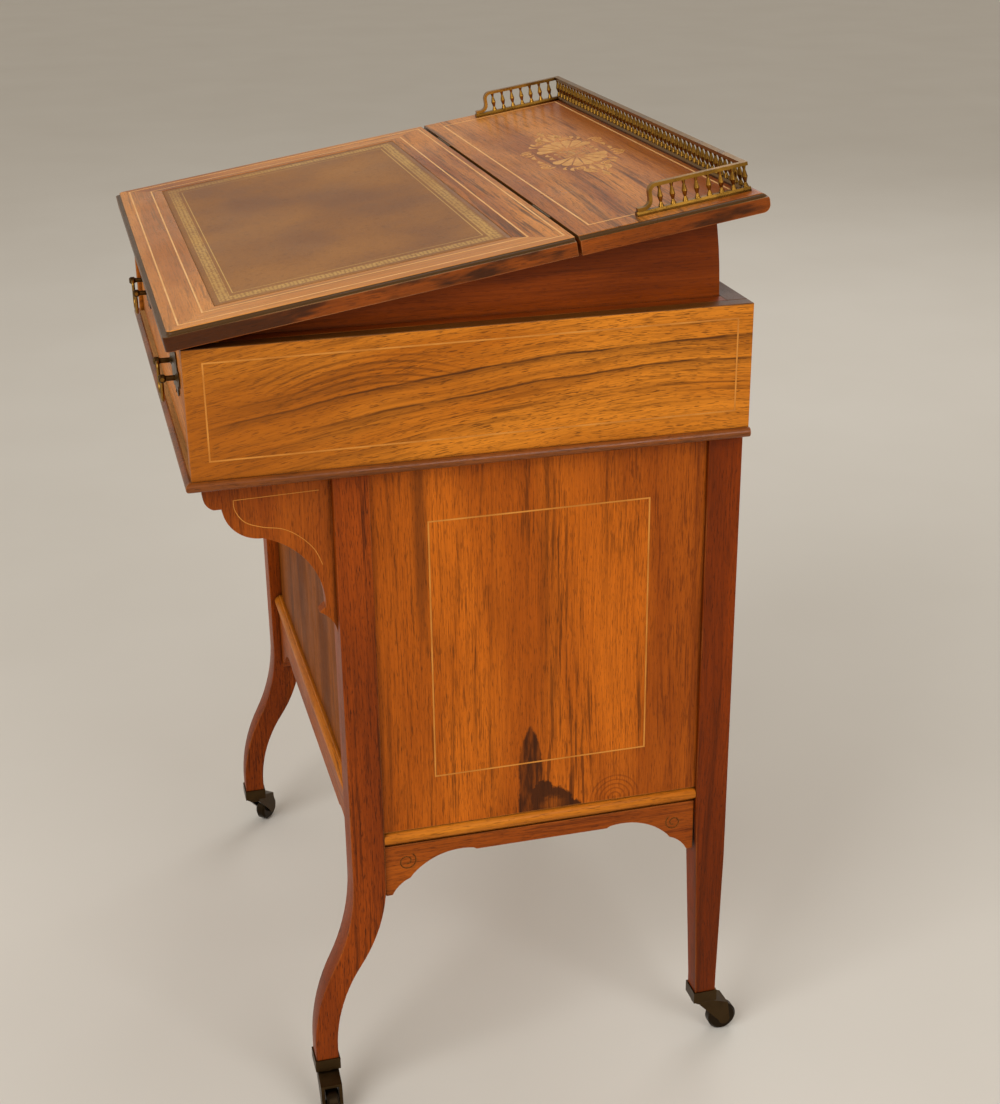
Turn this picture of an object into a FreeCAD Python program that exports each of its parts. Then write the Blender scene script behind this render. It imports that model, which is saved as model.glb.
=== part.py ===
import FreeCAD, Part
import math
import os
import Sketcher
from collections import namedtuple
from types import SimpleNamespace

# Davenport writing desk with a rising slope, a galleried shelf, a full-width front drawer,
# four drawers on its left side and cabriole front legs on casters.
# Millimetres, +Z up, +X to the sitter's right, the sitter at -Y. The origin is on the floor,
# under the middle of the box. The slope is modelled lowered and stands raised on its front hinges.

SIZES = {
    # Box
    "box_width": 528,
    "box_depth": 450,
    "box_height": 111,
    "rim_height": 718,
    "side_board": 14,
    "back_board": 18,
    "bottom_board": 9,
    "front_rail_height": 14,
    "front_rail_depth": 30,
    "slope_guide": 13,
    "drawer_guide": 10,
    "well_floor": 6,
    "well_back_gap": 13,
    "base_moulding_height": 8,
    "base_moulding_overhang": 5,
    # Clearances, and the overrun of cutting shapes
    "running_gap": 0.6,
    "drawer_gap": 0.8,
    "seat_gap": 0.3,
    "pin_clearance": 0.05,
    "overrun": 2,
    # Riser under the slope
    "slope_tilt": 8.9,
    "slope_gap": 1.5,
    "lid_seat": 0.2,
    "riser_side": 11,
    "riser_back": 12,
    "riser_back_gap": 1,
    "riser_heel_depth": 86,
    "riser_toe_depth": 14,
    "riser_rail_depth": 28,
    "riser_rail_gap": 2,
    # Lid and shelf
    "lid_side_overhang": 6,
    "lid_thickness": 14.5,
    "lid_front_overhang": 10.5,
    "shelf_back_overhang": 13.7,
    "shelf_depth": 154,
    "shelf_back_round": 6,
    "lid_corner_radius": 4,
    "lid_gap": 3,
    "cove_width": 4,
    "cove_depth": 3,
    "cove_radius": 2,
    "leather_front_margin": 44,
    "leather_side_margin": 42,
    "leather_back_margin": 39,
    "leather_thickness": 0.9,
    "leather_recess": 1,
    # Gallery
    "gallery_side_inset": 16,
    "gallery_back_inset": 8,
    "gallery_run": 94,
    "gallery_height": 23,
    "gallery_base_width": 6.5,
    "gallery_base_height": 3.5,
    "gallery_base_step": 1,
    "gallery_rail_width": 5,
    "gallery_rail_height": 2.8,
    "gallery_bend_radius": 7,
    "gallery_curl_radius": 5,
    "gallery_curl_setback": 11,
    "spindle_pitch": 10,
    "spindle_radius": 2.4,
    # Hinges, and the stay that holds the slope up
    "hinge_inset": 94,
    "hinge_leaf": 1,
    "knuckle_gap": 0.3,
    "slope_knuckle_radius": 2,
    "slope_pin_radius": 0.9,
    "slope_hinge_length": 46,
    "slope_leaf_height": 11,
    "strap_grip": 22,
    "lid_knuckle_radius": 1.1,
    "lid_pin_radius": 0.5,
    "lid_hinge_length": 50,
    "lid_leaf": 0.7,
    "lid_leaf_height": 8,
    "stay_bolt_radius": 2.5,
    "stay_bolt_setback": 95,
    "stay_bolt_drop": 6,
    "stay_slot_gap": 0.4,
    "stay_slack": 1,
    "stay_nut_radius": 6.5,
    "stay_nut_length": 8,
    "stay_bolt_end": 3,
    # Pedestal
    "leg_setback": 11,
    "knee_overhang": 108.5,
    "front_leg_width": 30,
    "front_leg_depth": 29,
    "rear_leg_size": 29.5,
    "rear_leg_front_taper": 6.5,
    "rear_leg_back_taper_top": 200,
    "foot_size": 20,
    "foot_forward": 41,
    "knee_height": 230,
    "ankle_height": 62,
    "foot_height": 43.5,
    "panel_board": 10,
    "panel_recess": 4,
    "side_rail_top": 274.5,
    "rail_height": 14.5,
    "rail_quirk": 2.5,
    "rail_fillet": 1,
    "apron_board": 12,
    "apron_drop": 15.5,
    "apron_tip_drop": 34,
    "apron_end": 86,
    "front_panel_board": 8,
    "front_panel_setback": 12.5,
    "front_rail_top": 296,
    "front_rail_bead": 8,
    "front_apron_drop": 38,
    "front_apron_tip_drop": 32,
    "back_panel_board": 8,
    "back_panel_recess": 4,
    "back_rail_board": 12,
    "back_rail_height": 25,
    "bracket_board": 12,
    "bracket_recess": 10,
    "bracket_length": 101.5,
    "bracket_height": 145,
    # Drawers
    "front_face_board": 18,
    "front_face_recess": 4,
    "side_face_board": 16,
    "tray_board": 8,
    "tray_bottom": 5,
    "tray_side_gap": 1,
    "tray_top_gap": 8,
    "tray_end_gap": 14,
    "front_tray_end_gap": 2,
    "dust_board": 7,
    "side_drawer_step": 8,
    # Brass handles
    "handle_inset": 124,
    "handle_drop": 50,
    "post_spacing": 51,
    "post_length": 13,
    "post_radius": 2.2,
    "post_collar_radius": 4,
    "post_collar_height": 1.5,
    "post_head_radius": 3.4,
    "post_head_length": 6,
    "bail_radius": 1.5,
    "bail_drop": 23,
    "bail_inset": 5,
    "bail_shoulder_radius": 4,
    "bail_corner_radius": 9,
    "plate_length": 80,
    "plate_height": 40,
    "side_plate_margin": 12.1375,
    "plate_thickness": 1.2,
    # Casters
    "cup_wall": 1.3,
    "cup_floor": 3,
    "cup_depth": 8.5,
    "wheel_radius": 14,
    "wheel_width": 11,
    "wheel_rim": 2,
    "axle_radius": 2,
    "stem_radius": 3,
    "caster_trail": 21,
    "fork_cheek": 3,
    "fork_gap": 1,
    "fork_crown": 4,
    "fork_radius": 9.5,
    "fork_eye_radius": 5.5,
    "fork_hood_reach": 24,
    "fork_hood_drop": 7,
    "fork_hood_board": 2.5,
}

# Outlines and turned forms, as shares of the sizes that they follow. The third number is the
# bulge of the edge that follows a point, as a share of that edge's length.
# Bracket: along from the leg, and down from the box.
BRACKET_SHARES = [
    (0, 0, 0), (1, 0, 0), (0.98, 0.09, -0.16), (0.906, 0.169, 0), (0.845, 0.169, -0.2),
    (0.547, 0.359, 0.17), (0.084, 0.807, 0), (0.138, 0.838, 0.15), (0, 1, 0),
]
# Apron end: along from the leg, and up from its tip.
APRON_END_SHARES = [(0, 0, 0), (0.07, 0, -0.1), (0.26, 0.44, 0), (0.29, 0.54, -0.13), (0.92, 1.05, 0),
                    (0.95, 1, 0)]
# One quarter of a handle plate: along, and up.
PLATE_SHARES = [
    (1, 0, -0.12), (0.86, 0.34, 0.2), (0.62, 0.46, 0), (0.6, 0.72, -0.2), (0.2, 0.76, 0.25), (0, 1, 0),
]
# Gallery spindle: radius, and height.
SPINDLE_SHARES = [(1, 0), (0.45, 0.22), (0.95, 0.48), (0.42, 0.82), (0.75, 1)]
# Corners of the six-sided nut.
HEXAGON_SHARES = [(1, 0), (0.5, 0.866), (-0.5, 0.866), (-1, 0), (-0.5, -0.866), (0.5, -0.866)]
# Bulge of a nearly full half-round.
ROUND_SHARE = 0.45
# Swivel of each caster as the desk stands, in degrees.
CASTER_TURNS = {"front_right": -90, "front_left": 50, "rear_right": 3, "rear_left": 40}
SIDE_DRAWERS = 4
SIDE_SPINDLES = 8
HANDS = (("right", 1), ("left", -1))

# An arc of an outline: its radius, and whether it swells to the left of the way the outline runs.
Bend = namedtuple("Bend", "radius left")


class Size:
    """A size of the sheet, or a sum of such sizes: its value now and its text as a sheet expression."""

    def __init__(self, value, text):
        self.value = value
        self.text = text

    def __add__(self, other):
        return Size(self.value + size(other).value, f"({self.text} + {size(other).text})")

    def __sub__(self, other):
        return Size(self.value - size(other).value, f"({self.text} - {size(other).text})")

    def __mul__(self, other):
        return Size(self.value * size(other).value, f"({self.text} * {size(other).text})")

    def __truediv__(self, other):
        return Size(self.value / size(other).value, f"({self.text} / {size(other).text})")

    def __radd__(self, other):
        return size(other) + self

    def __rsub__(self, other):
        return size(other) - self

    def __rmul__(self, other):
        return size(other) * self

    def __neg__(self):
        return Size(-self.value, f"(-1 * {self.text})")


def size(amount):
    """Takes a plain number as a size."""
    return amount if isinstance(amount, Size) else Size(amount, repr(amount))


def root(amount):
    """Square root of a size."""
    return Size(math.sqrt(amount.value), f"sqrt({amount.text})")


def sine(angle):
    return Size(math.sin(math.radians(angle.value)), f"sin({angle.text})")


def cosine(angle):
    return Size(math.cos(math.radians(angle.value)), f"cos({angle.text})")


doc = FreeCAD.newDocument("Davenport")
sheet = doc.addObject("Spreadsheet::Sheet", "Sizes")
for row, (alias, number) in enumerate(SIZES.items(), 1):
    sheet.set(f"A{row}", alias)
    sheet.set(f"B{row}", str(number))
    sheet.setAlias(f"B{row}", alias)
doc.recompute()
S = SimpleNamespace(**{alias: Size(float(getattr(sheet, alias)), f"Sizes.{alias}") for alias in SIZES})
NODES = []

# Places that several pieces share
box_side = S.box_width / 2
box_front = -S.box_depth / 2
box_back = S.box_depth / 2
box_bottom = S.rim_height - S.box_height
box_inside = box_side - S.side_board
back_inside = box_back - S.back_board
floor_top = box_bottom + S.bottom_board
rail_back = box_front + S.front_rail_depth
rail_bottom = S.rim_height - S.front_rail_height
well_under = rail_bottom - S.well_floor
lining_inside = box_inside - S.slope_guide
riser_outer = lining_inside - S.running_gap
riser_inner = riser_outer - S.riser_side
guide_outer = riser_inner - S.running_gap
guide_inner = guide_outer - S.drawer_guide
lid_bottom = S.rim_height + S.slope_gap
lid_top = lid_bottom + S.lid_thickness
lid_side = box_side + S.lid_side_overhang
lid_front = box_front - S.lid_front_overhang
shelf_back = box_back + S.shelf_back_overhang
shelf_front = shelf_back - S.shelf_depth
lid_back = shelf_front - S.lid_gap
riser_top = lid_bottom - S.lid_seat
# The slope turns about knuckles under the lid's front edge.
hinge_x = box_side - S.hinge_inset
hinge_y = box_front - S.slope_knuckle_radius - S.knuckle_gap
hinge_z = riser_top - S.slope_knuckle_radius
riser_radius = back_inside - S.riser_back_gap - hinge_y
riser_front = rail_back + S.riser_rail_gap
riser_heel = riser_top - S.riser_heel_depth
inner_back = hinge_y + riser_radius - S.riser_back - S.well_back_gap
# The bolt of the stay, from the slope's hinge
bolt_y = box_back - S.stay_bolt_setback - hinge_y
bolt_z = S.rim_height - S.stay_bolt_drop - hinge_z
# Pedestal
leg_face = box_side - S.leg_setback
leg_front = box_front + S.knee_overhang
leg_back = leg_front + S.front_leg_depth
front_leg_inside = leg_face - S.front_leg_width
rear_leg_front = box_back - S.rear_leg_size
rear_leg_inside = leg_face - S.rear_leg_size
panel_face = leg_face - S.panel_recess
panel_inside = panel_face - S.panel_board
side_rail_bottom = S.side_rail_top - S.rail_height
foot_inside = leg_face - S.foot_size
front_foot_front = leg_front - S.foot_forward
rear_foot_front = rear_leg_front + S.rear_leg_front_taper
cup_bottom = S.foot_height - S.cup_floor
front_panel_back = leg_front + S.front_panel_setback + S.front_panel_board
back_panel_face = box_back - S.back_panel_recess


def bind(thing, name, amount):
    """Ties a property to the sheet."""
    thing.setExpression(name, size(amount).text)


def vector_text(where):
    return "create(<<vector>>; " + "; ".join(size(part).text for part in where) + ")"


def rotation_text(axis, angle):
    return f"create(<<rotation>>; {vector_text(axis)}; {size(angle).text})"


def place(thing, at, axis=(0, 0, 1), angle=0, pivot=(0, 0, 0)):
    """Moves a piece, and turns it about a pivot given in the piece's own frame."""
    parts = [vector_text(at), rotation_text(axis, angle), vector_text(pivot)]
    thing.setExpression("Placement", f"create(<<placement>>; {'; '.join(parts)})")


def raise_slope(thing, at=(0, 0, 0)):
    """Places a piece of the slope where it lies when lowered, then raises it on the front hinges."""
    pivot = (-size(at[0]), hinge_y - at[1], hinge_z - at[2])
    place(thing, at, (1, 0, 0), S.slope_tilt, pivot)


def node(thing, label):
    """Names a piece, and lists it for writing."""
    thing.Label = label
    NODES.append(thing)
    return thing


def block(name, x_span, y_span, z_span, raised=False):
    """A board between two X, two Y and two Z places."""
    board = doc.addObject("Part::Box", name)
    for side, span in (("Length", x_span), ("Width", y_span), ("Height", z_span)):
        bind(board, side, size(span[1]) - span[0])
    corner = (x_span[0], y_span[0], z_span[0])
    if raised:
        raise_slope(board, corner)
    else:
        place(board, corner)
    return board


def rod_along_x(name, radius, x_span, y, z, raised=False):
    """A round bar along X."""
    bar = doc.addObject("Part::Cylinder", name)
    bind(bar, "Radius", radius)
    bind(bar, "Height", size(x_span[1]) - x_span[0])
    along = rotation_text((0, 1, 0), 90)
    if raised:
        along = f"{rotation_text((1, 0, 0), S.slope_tilt)} * {along}"
        out_y = y - hinge_y
        out_z = z - hinge_z
        y = hinge_y + cosine(S.slope_tilt) * out_y - sine(S.slope_tilt) * out_z
        z = hinge_z + sine(S.slope_tilt) * out_y + cosine(S.slope_tilt) * out_z
    at = vector_text((x_span[0], y, z))
    bar.setExpression("Placement", f"create(<<placement>>; {at}; {along})")
    return bar


def mirrored(name, source):
    """The left-hand twin of a right-hand piece."""
    twin = doc.addObject("Part::Mirroring", name)
    twin.Source = source
    twin.Normal = FreeCAD.Vector(1, 0, 0)
    return twin


def together(name, pieces):
    """Separate pieces that share one node."""
    group = doc.addObject("Part::Compound", name)
    group.Links = pieces
    return group


def pair(name, right):
    """A right-hand piece and its twin as one node."""
    return together(name, [right, mirrored(f"{name}Twin", right)])


def joined(name, pieces):
    """Pieces made as one."""
    fusion = doc.addObject("Part::MultiFuse", name)
    fusion.Shapes = pieces
    return fusion


def less(name, base, tool):
    """A piece with another shape cut out of it."""
    result = doc.addObject("Part::Cut", name)
    result.Base = base
    result.Tool = tool
    return result


def new_sketch(body, name, plane, offset):
    """An empty sketch on one of the body's own planes."""
    drawing = body.newObject("Sketcher::SketchObject", name)
    support = [feature for feature in body.Origin.OriginFeatures if feature.Role == plane][0]
    drawing.AttachmentSupport = (support, "")
    drawing.MapMode = "FlatFace"
    for letter, amount in zip("xyz", offset):
        bind(drawing, f"AttachmentOffset.Base.{letter}", amount)
    return drawing


def constrain(drawing, name, kind, target, amount):
    """A named measure of a sketch, tied to the sheet."""
    number = drawing.addConstraint(Sketcher.Constraint(kind, *target, amount.value))
    drawing.renameConstraint(number, name)
    bind(drawing, f"Constraints.{name}", amount)


def bend_between(start, end, bend):
    """The bend between two points, where it may be given as a bulge, positive to the left."""
    if isinstance(bend, Bend) or not bend:
        return bend
    across = end[0] - start[0]
    along = end[1] - start[1]
    chord = root(across * across + along * along)
    return Bend(chord * ((0.25 + bend * bend) / (2 * abs(bend))), bend > 0)


def arc_between(first, last, bend):
    chord = last - first
    to_middle = math.sqrt(max(bend.radius.value ** 2 - (chord.Length / 2) ** 2, 0))
    leftward = FreeCAD.Vector(-chord.y, chord.x, 0).normalize()
    swell = (bend.radius.value - to_middle) * (1 if bend.left else -1)
    return Part.Arc(first, (first + last) / 2 + leftward * swell, last)


def outline(body, name, plane, points, offset=(0, 0, 0), closed=True):
    """A sketch through points. A point is x, y and, where an arc follows it, that arc's bend or bulge."""
    drawing = new_sketch(body, name, plane, offset)
    corners = [(size(point[0]), size(point[1])) for point in points]
    bends = [point[2] if len(point) > 2 else 0 for point in points]
    edge_count = len(points) if closed else len(points) - 1
    starts = []
    ends = []
    for here in range(edge_count):
        start = corners[here]
        end = corners[(here + 1) % len(corners)]
        first, last = [FreeCAD.Vector(x.value, y.value, 0) for x, y in (start, end)]
        bend = bend_between(start, end, bends[here])
        if bend:
            edge = drawing.addGeometry(arc_between(first, last, bend), False)
            constrain(drawing, f"radius{here}", "Radius", (edge,), bend.radius)
        else:
            edge = drawing.addGeometry(Part.LineSegment(first, last), False)
        # A sketch keeps its arcs anticlockwise, so one that swells to the left runs backwards.
        backwards = bool(bend) and bend.left
        starts.append((edge, 2 if backwards else 1))
        ends.append((edge, 1 if backwards else 2))
    for here in range(edge_count if closed else edge_count - 1):
        following = starts[(here + 1) % edge_count]
        drawing.addConstraint(Sketcher.Constraint("Coincident", *ends[here], *following))
    for here, corner in enumerate(corners):
        vertex = starts[here] if here < edge_count else ends[-1]
        constrain(drawing, f"x{here}", "DistanceX", (-1, 1, *vertex), corner[0])
        constrain(drawing, f"y{here}", "DistanceY", (-1, 1, *vertex), corner[1])
    return drawing


def circle(body, name, plane, centre, radius, offset=(0, 0, 0)):
    """A sketch of one circle."""
    drawing = new_sketch(body, name, plane, offset)
    middle = FreeCAD.Vector(size(centre[0]).value, size(centre[1]).value, 0)
    edge = drawing.addGeometry(Part.Circle(middle, FreeCAD.Vector(0, 0, 1), radius.value), False)
    constrain(drawing, "radius", "Radius", (edge,), radius)
    constrain(drawing, "x", "DistanceX", (-1, 1, edge, 3), size(centre[0]))
    constrain(drawing, "y", "DistanceY", (-1, 1, edge, 3), size(centre[1]))
    return drawing


def pad(body, profile, length):
    feature = body.newObject("PartDesign::Pad", f"{profile.Name}Pad")
    feature.Profile = profile
    bind(feature, "Length", length)
    return feature


def pocket_through(body, profile):
    """Cuts a profile right through, to both sides of its sketch."""
    feature = body.newObject("PartDesign::Pocket", f"{profile.Name}Cut")
    feature.Profile = profile
    feature.Type = "ThroughAll"
    feature.Midplane = True
    return feature


def pocket_down(body, profile, depth):
    feature = body.newObject("PartDesign::Pocket", f"{profile.Name}Cut")
    feature.Profile = profile
    bind(feature, "Length", depth)
    return feature


def turn(body, profile, axis):
    """Turns a profile about one of its sketch's axes."""
    feature = body.newObject("PartDesign::Revolution", f"{profile.Name}Turned")
    feature.Profile = profile
    feature.ReferenceAxis = (profile, [axis])
    feature.Angle = 360
    return feature


def rectangle(x_span, y_span):
    return [(x_span[0], y_span[0]), (x_span[1], y_span[0]), (x_span[1], y_span[1]), (x_span[0], y_span[1])]


def with_twin(half):
    """A run of points, then its mirror image in the opposite order. A last point at zero is shared."""
    back = []
    for number, (x, y, bend) in enumerate(half):
        back.append((-size(x), y, half[number - 1][2] if number else 0))
    shared = size(half[-1][0]).value == 0
    return (half[:-1] if shared else half) + back[::-1]


def new_body(name):
    return doc.addObject("PartDesign::Body", name)


def make_box():
    inside = (-box_inside, box_inside)
    full_height = (box_bottom, S.rim_height)
    side = block("BoxSide", (box_inside, box_side), (box_front, box_back), full_height)
    node(pair("BoxSides", side), "box_sides")
    node(block("BoxBack", inside, (back_inside, box_back), full_height), "box_back")
    node(block("BoxBottom", inside, (box_front, back_inside), (box_bottom, floor_top)), "box_bottom")
    rail_height = (rail_bottom, S.rim_height)
    node(block("BoxFrontRail", inside, (box_front, rail_back), rail_height), "box_front_rail")
    lining = block("SlopeGuide", (lining_inside, box_inside), (rail_back, back_inside),
                   (floor_top, S.rim_height))
    node(pair("SlopeGuides", lining), "slope_guides")
    inner_span = (rail_back, inner_back)
    guide = block("DrawerGuide", (guide_inner, guide_outer), inner_span, (floor_top, well_under))
    node(pair("DrawerGuides", guide), "drawer_guides")
    well = block("WellFloor", (-guide_outer, guide_outer), inner_span, (well_under, rail_bottom))
    node(well, "well_floor")


def make_base_moulding():
    """Half-round moulding round the box's lower edge, in three runs with mitred front corners."""
    out = S.base_moulding_overhang
    top = box_bottom + S.base_moulding_height
    flat = out - S.base_moulding_height * ROUND_SHARE
    far = box_front - out
    side = new_body("SideMoulding")
    section = outline(side, "SideSection", "XZ_Plane", [
        (box_side, box_bottom),
        (box_side + flat, box_bottom, -ROUND_SHARE),
        (box_side + flat, top),
        (box_side, top),
    ], (0, 0, -box_back))
    pad(side, section, box_back - far)
    mitre = outline(side, "SideMitre", "XY_Plane", [
        (box_side - S.overrun, box_front + S.overrun),
        (box_side - S.overrun, far - S.overrun),
        (box_side + out + S.overrun, far - S.overrun),
    ])
    pocket_through(side, mitre)
    front = new_body("FrontMoulding")
    section = outline(front, "FrontSection", "YZ_Plane", [
        (box_front, box_bottom),
        (box_front, top),
        (box_front - flat, top, -ROUND_SHARE),
        (box_front - flat, box_bottom),
    ], (0, 0, -box_side - out))
    pad(front, section, S.box_width + 2 * out)
    for name, hand in HANDS:
        beyond = hand * (box_side + out + S.overrun)
        mitre = outline(front, f"FrontMitre{name}", "XY_Plane", [
            (hand * (box_side - S.overrun), box_front + S.overrun),
            (beyond, far - S.overrun),
            (beyond, box_front + S.overrun),
        ])
        pocket_through(front, mitre)
    node(together("BoxMoulding", [side, mirrored("SideMouldingTwin", side), front]), "box_moulding")


def s_curve(run, rise):
    """Radius of each half of an S curve that leaves and ends upright."""
    return (run * run + rise * rise) / (4 * run)


def taper_inside(leg, name, inside, from_height):
    """Cuts the inner face of a leg back to the width of its foot."""
    below = S.foot_height - S.overrun
    wedge = outline(leg, name, "XZ_Plane", [
        (inside - S.overrun, from_height),
        (inside, from_height),
        (foot_inside, S.ankle_height),
        (foot_inside, below),
        (inside - S.overrun, below),
    ])
    pocket_through(leg, wedge)


def make_front_legs():
    rise = S.knee_height - S.ankle_height
    middle = (S.knee_height + S.ankle_height) / 2
    front_curve = s_curve(S.foot_forward, rise)
    foot_back = front_foot_front + S.foot_size
    back_run = leg_back - foot_back
    back_curve = s_curve(back_run, rise)
    leg = new_body("FrontLeg")
    side_view = outline(leg, "CabrioleSide", "YZ_Plane", [
        (leg_front, box_bottom),
        (leg_front, S.knee_height, Bend(front_curve, True)),
        (leg_front - S.foot_forward / 2, middle, Bend(front_curve, False)),
        (front_foot_front, S.ankle_height),
        (front_foot_front, S.foot_height),
        (foot_back, S.foot_height),
        (foot_back, S.ankle_height, Bend(back_curve, True)),
        (foot_back + back_run / 2, middle, Bend(back_curve, False)),
        (leg_back, S.knee_height),
        (leg_back, box_bottom),
    ], (0, 0, front_leg_inside))
    pad(leg, side_view, S.front_leg_width)
    taper_inside(leg, "FrontLegTaper", front_leg_inside, S.knee_height)
    node(leg, "front_leg_right")
    node(mirrored("FrontLegTwin", leg), "front_leg_left")


def make_rear_legs():
    foot_back = rear_foot_front + S.foot_size
    leg = new_body("RearLeg")
    side_view = outline(leg, "RearLegSide", "YZ_Plane", [
        (rear_leg_front, box_bottom),
        (rear_leg_front, S.side_rail_top),
        (rear_foot_front, S.ankle_height),
        (rear_foot_front, S.foot_height),
        (foot_back, S.foot_height),
        (foot_back, S.ankle_height),
        (box_back, S.rear_leg_back_taper_top),
        (box_back, box_bottom),
    ], (0, 0, rear_leg_inside))
    pad(leg, side_view, S.rear_leg_size)
    taper_inside(leg, "RearLegTaper", rear_leg_inside, S.side_rail_top)
    node(leg, "rear_leg_right")
    node(mirrored("RearLegTwin", leg), "rear_leg_left")


def rail_section(depth, way):
    """A rail with a rounded nose over a quirk: out from its back one way or the other, and up."""
    nose = (S.rail_height - S.rail_quirk - S.rail_fillet) * ROUND_SHARE
    shoulder = depth - nose
    return [
        (0, 0),
        (way * (shoulder - S.rail_fillet), 0),
        (way * (shoulder - S.rail_fillet), S.rail_quirk),
        (way * shoulder, S.rail_quirk, -way * ROUND_SHARE),
        (way * shoulder, S.rail_height - S.rail_fillet),
        (way * shoulder, S.rail_height),
        (0, S.rail_height),
    ]


def make_rails():
    side = new_body("SideRail")
    section = outline(side, "SideRailSection", "XZ_Plane", rail_section(leg_face - panel_inside, 1),
                      (panel_inside, side_rail_bottom, -rear_leg_front))
    pad(side, section, rear_leg_front - leg_back)
    front = new_body("FrontRail")
    front_section = rail_section(S.front_rail_bead + S.front_panel_board, -1)
    section = outline(front, "FrontRailSection", "YZ_Plane", front_section,
                      (front_panel_back, S.front_rail_top - S.rail_height, -front_leg_inside))
    pad(front, section, 2 * front_leg_inside)
    back = block("BackRail", (-rear_leg_inside, rear_leg_inside),
                 (back_panel_face - S.back_rail_board, back_panel_face),
                 (S.side_rail_top - S.back_rail_height, S.side_rail_top))
    node(together("BottomRails", [side, mirrored("SideRailTwin", side), front, back]), "bottom_rails")


def apron_outline(half, top, drop, tip_drop):
    """A straight-topped apron about its middle, with a shaped tip at each end."""
    tip = top - drop - tip_drop
    end = [(half - along * S.apron_end, tip + up * tip_drop, bulge) for along, up, bulge in APRON_END_SHARES]
    return with_twin([(half, top, 0), *end])


def make_aprons():
    side = new_body("SideApron")
    half = (rear_leg_front - leg_back) / 2
    profile = outline(side, "SideApronFace", "YZ_Plane",
                      apron_outline(half, side_rail_bottom, S.apron_drop, S.apron_tip_drop),
                      (leg_back + half, 0, panel_face - S.apron_board))
    pad(side, profile, S.apron_board)
    front = new_body("FrontApron")
    front_top = S.front_rail_top - S.rail_height
    profile = outline(front, "FrontApronFace", "XZ_Plane",
                      apron_outline(front_leg_inside, front_top, S.front_apron_drop, S.front_apron_tip_drop),
                      (0, 0, -front_panel_back))
    pad(front, profile, S.apron_board)
    node(together("Aprons", [side, mirrored("SideApronTwin", side), front]), "aprons")


def make_pedestal():
    make_front_legs()
    make_rear_legs()
    panel_height = (S.side_rail_top, box_bottom)
    side = block("SidePanel", (panel_inside, panel_face), (leg_back, rear_leg_front), panel_height)
    node(side, "side_panel")
    node(block("FrontPanel", (-front_leg_inside, front_leg_inside),
               (front_panel_back - S.front_panel_board, front_panel_back),
               (S.front_rail_top, box_bottom)), "front_panel")
    node(block("BackPanel", (-rear_leg_inside, rear_leg_inside),
               (back_panel_face - S.back_panel_board, back_panel_face), panel_height), "back_panel")
    make_rails()
    make_aprons()
    bracket = new_body("Bracket")
    face = outline(bracket, "BracketFace", "YZ_Plane",
                   [(leg_front - along * S.bracket_length, box_bottom - down * S.bracket_height, bulge)
                    for along, down, bulge in BRACKET_SHARES],
                   (0, 0, leg_face - S.bracket_recess - S.bracket_board))
    pad(bracket, face, S.bracket_board)
    node(pair("ScrollBrackets", bracket), "scroll_brackets")


def side_drawer_spans():
    """The lower and upper place of each side drawer's opening, the deepest drawer lowest."""
    boards = (SIDE_DRAWERS - 1) * S.dust_board
    steps = SIDE_DRAWERS * (SIDE_DRAWERS - 1) / 2
    least = (box_bottom - S.side_rail_top - boards - steps * S.side_drawer_step) / SIDE_DRAWERS
    spans = []
    low = S.side_rail_top
    for number in range(SIDE_DRAWERS):
        high = low + least + (SIDE_DRAWERS - 1 - number) * S.side_drawer_step
        spans.append((low, high))
        low = high + S.dust_board
    return spans


def make_dust_boards():
    depth = (leg_back, rear_leg_front)
    boards = [block("DustFloor", (-panel_inside, panel_inside), depth,
                    (S.side_rail_top - S.dust_board, S.side_rail_top))]
    for number, (low, high) in enumerate(side_drawer_spans()[:-1], 1):
        boards.append(block(f"DustBoard{number}", (-panel_face, panel_inside), depth,
                            (high, high + S.dust_board)))
    node(together("DustBoards", boards), "dust_boards")


def make_casters():
    """A square brass cup on each foot, and a swivelling fork and wheel under it."""
    rear_y = rear_foot_front + S.foot_size / 2
    front_y = front_foot_front + S.foot_size / 2
    middle_x = leg_face - S.foot_size / 2
    places = {"front_right": (middle_x, front_y), "front_left": (-middle_x, front_y),
              "rear_right": (middle_x, rear_y), "rear_left": (-middle_x, rear_y)}
    cups = []
    for name, (x, y) in places.items():
        half = S.foot_size / 2
        wide = half + S.cup_wall
        shell = block(f"CupShell_{name}", (x - wide, x + wide), (y - wide, y + wide),
                      (cup_bottom, S.foot_height + S.cup_depth))
        socket = block(f"CupSocket_{name}", (x - half, x + half), (y - half, y + half),
                       (S.foot_height, S.foot_height + S.cup_depth + S.overrun))
        hole = doc.addObject("Part::Cylinder", f"CupHole_{name}")
        bind(hole, "Radius", S.stem_radius + S.pin_clearance)
        bind(hole, "Height", S.cup_floor + 2 * S.overrun)
        place(hole, (x, y, cup_bottom - S.overrun))
        cups.append(less(f"Cup_{name}", shell, joined(f"CupHollow_{name}", [socket, hole])))
        node(make_fork(f"Fork_{name}", (x, y, 0), CASTER_TURNS[name]), f"caster_fork_{name}")
        node(make_wheel(f"Wheel_{name}", (x, y, 0), CASTER_TURNS[name]), f"caster_wheel_{name}")
    node(together("CasterCups", cups), "caster_cups")


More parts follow.
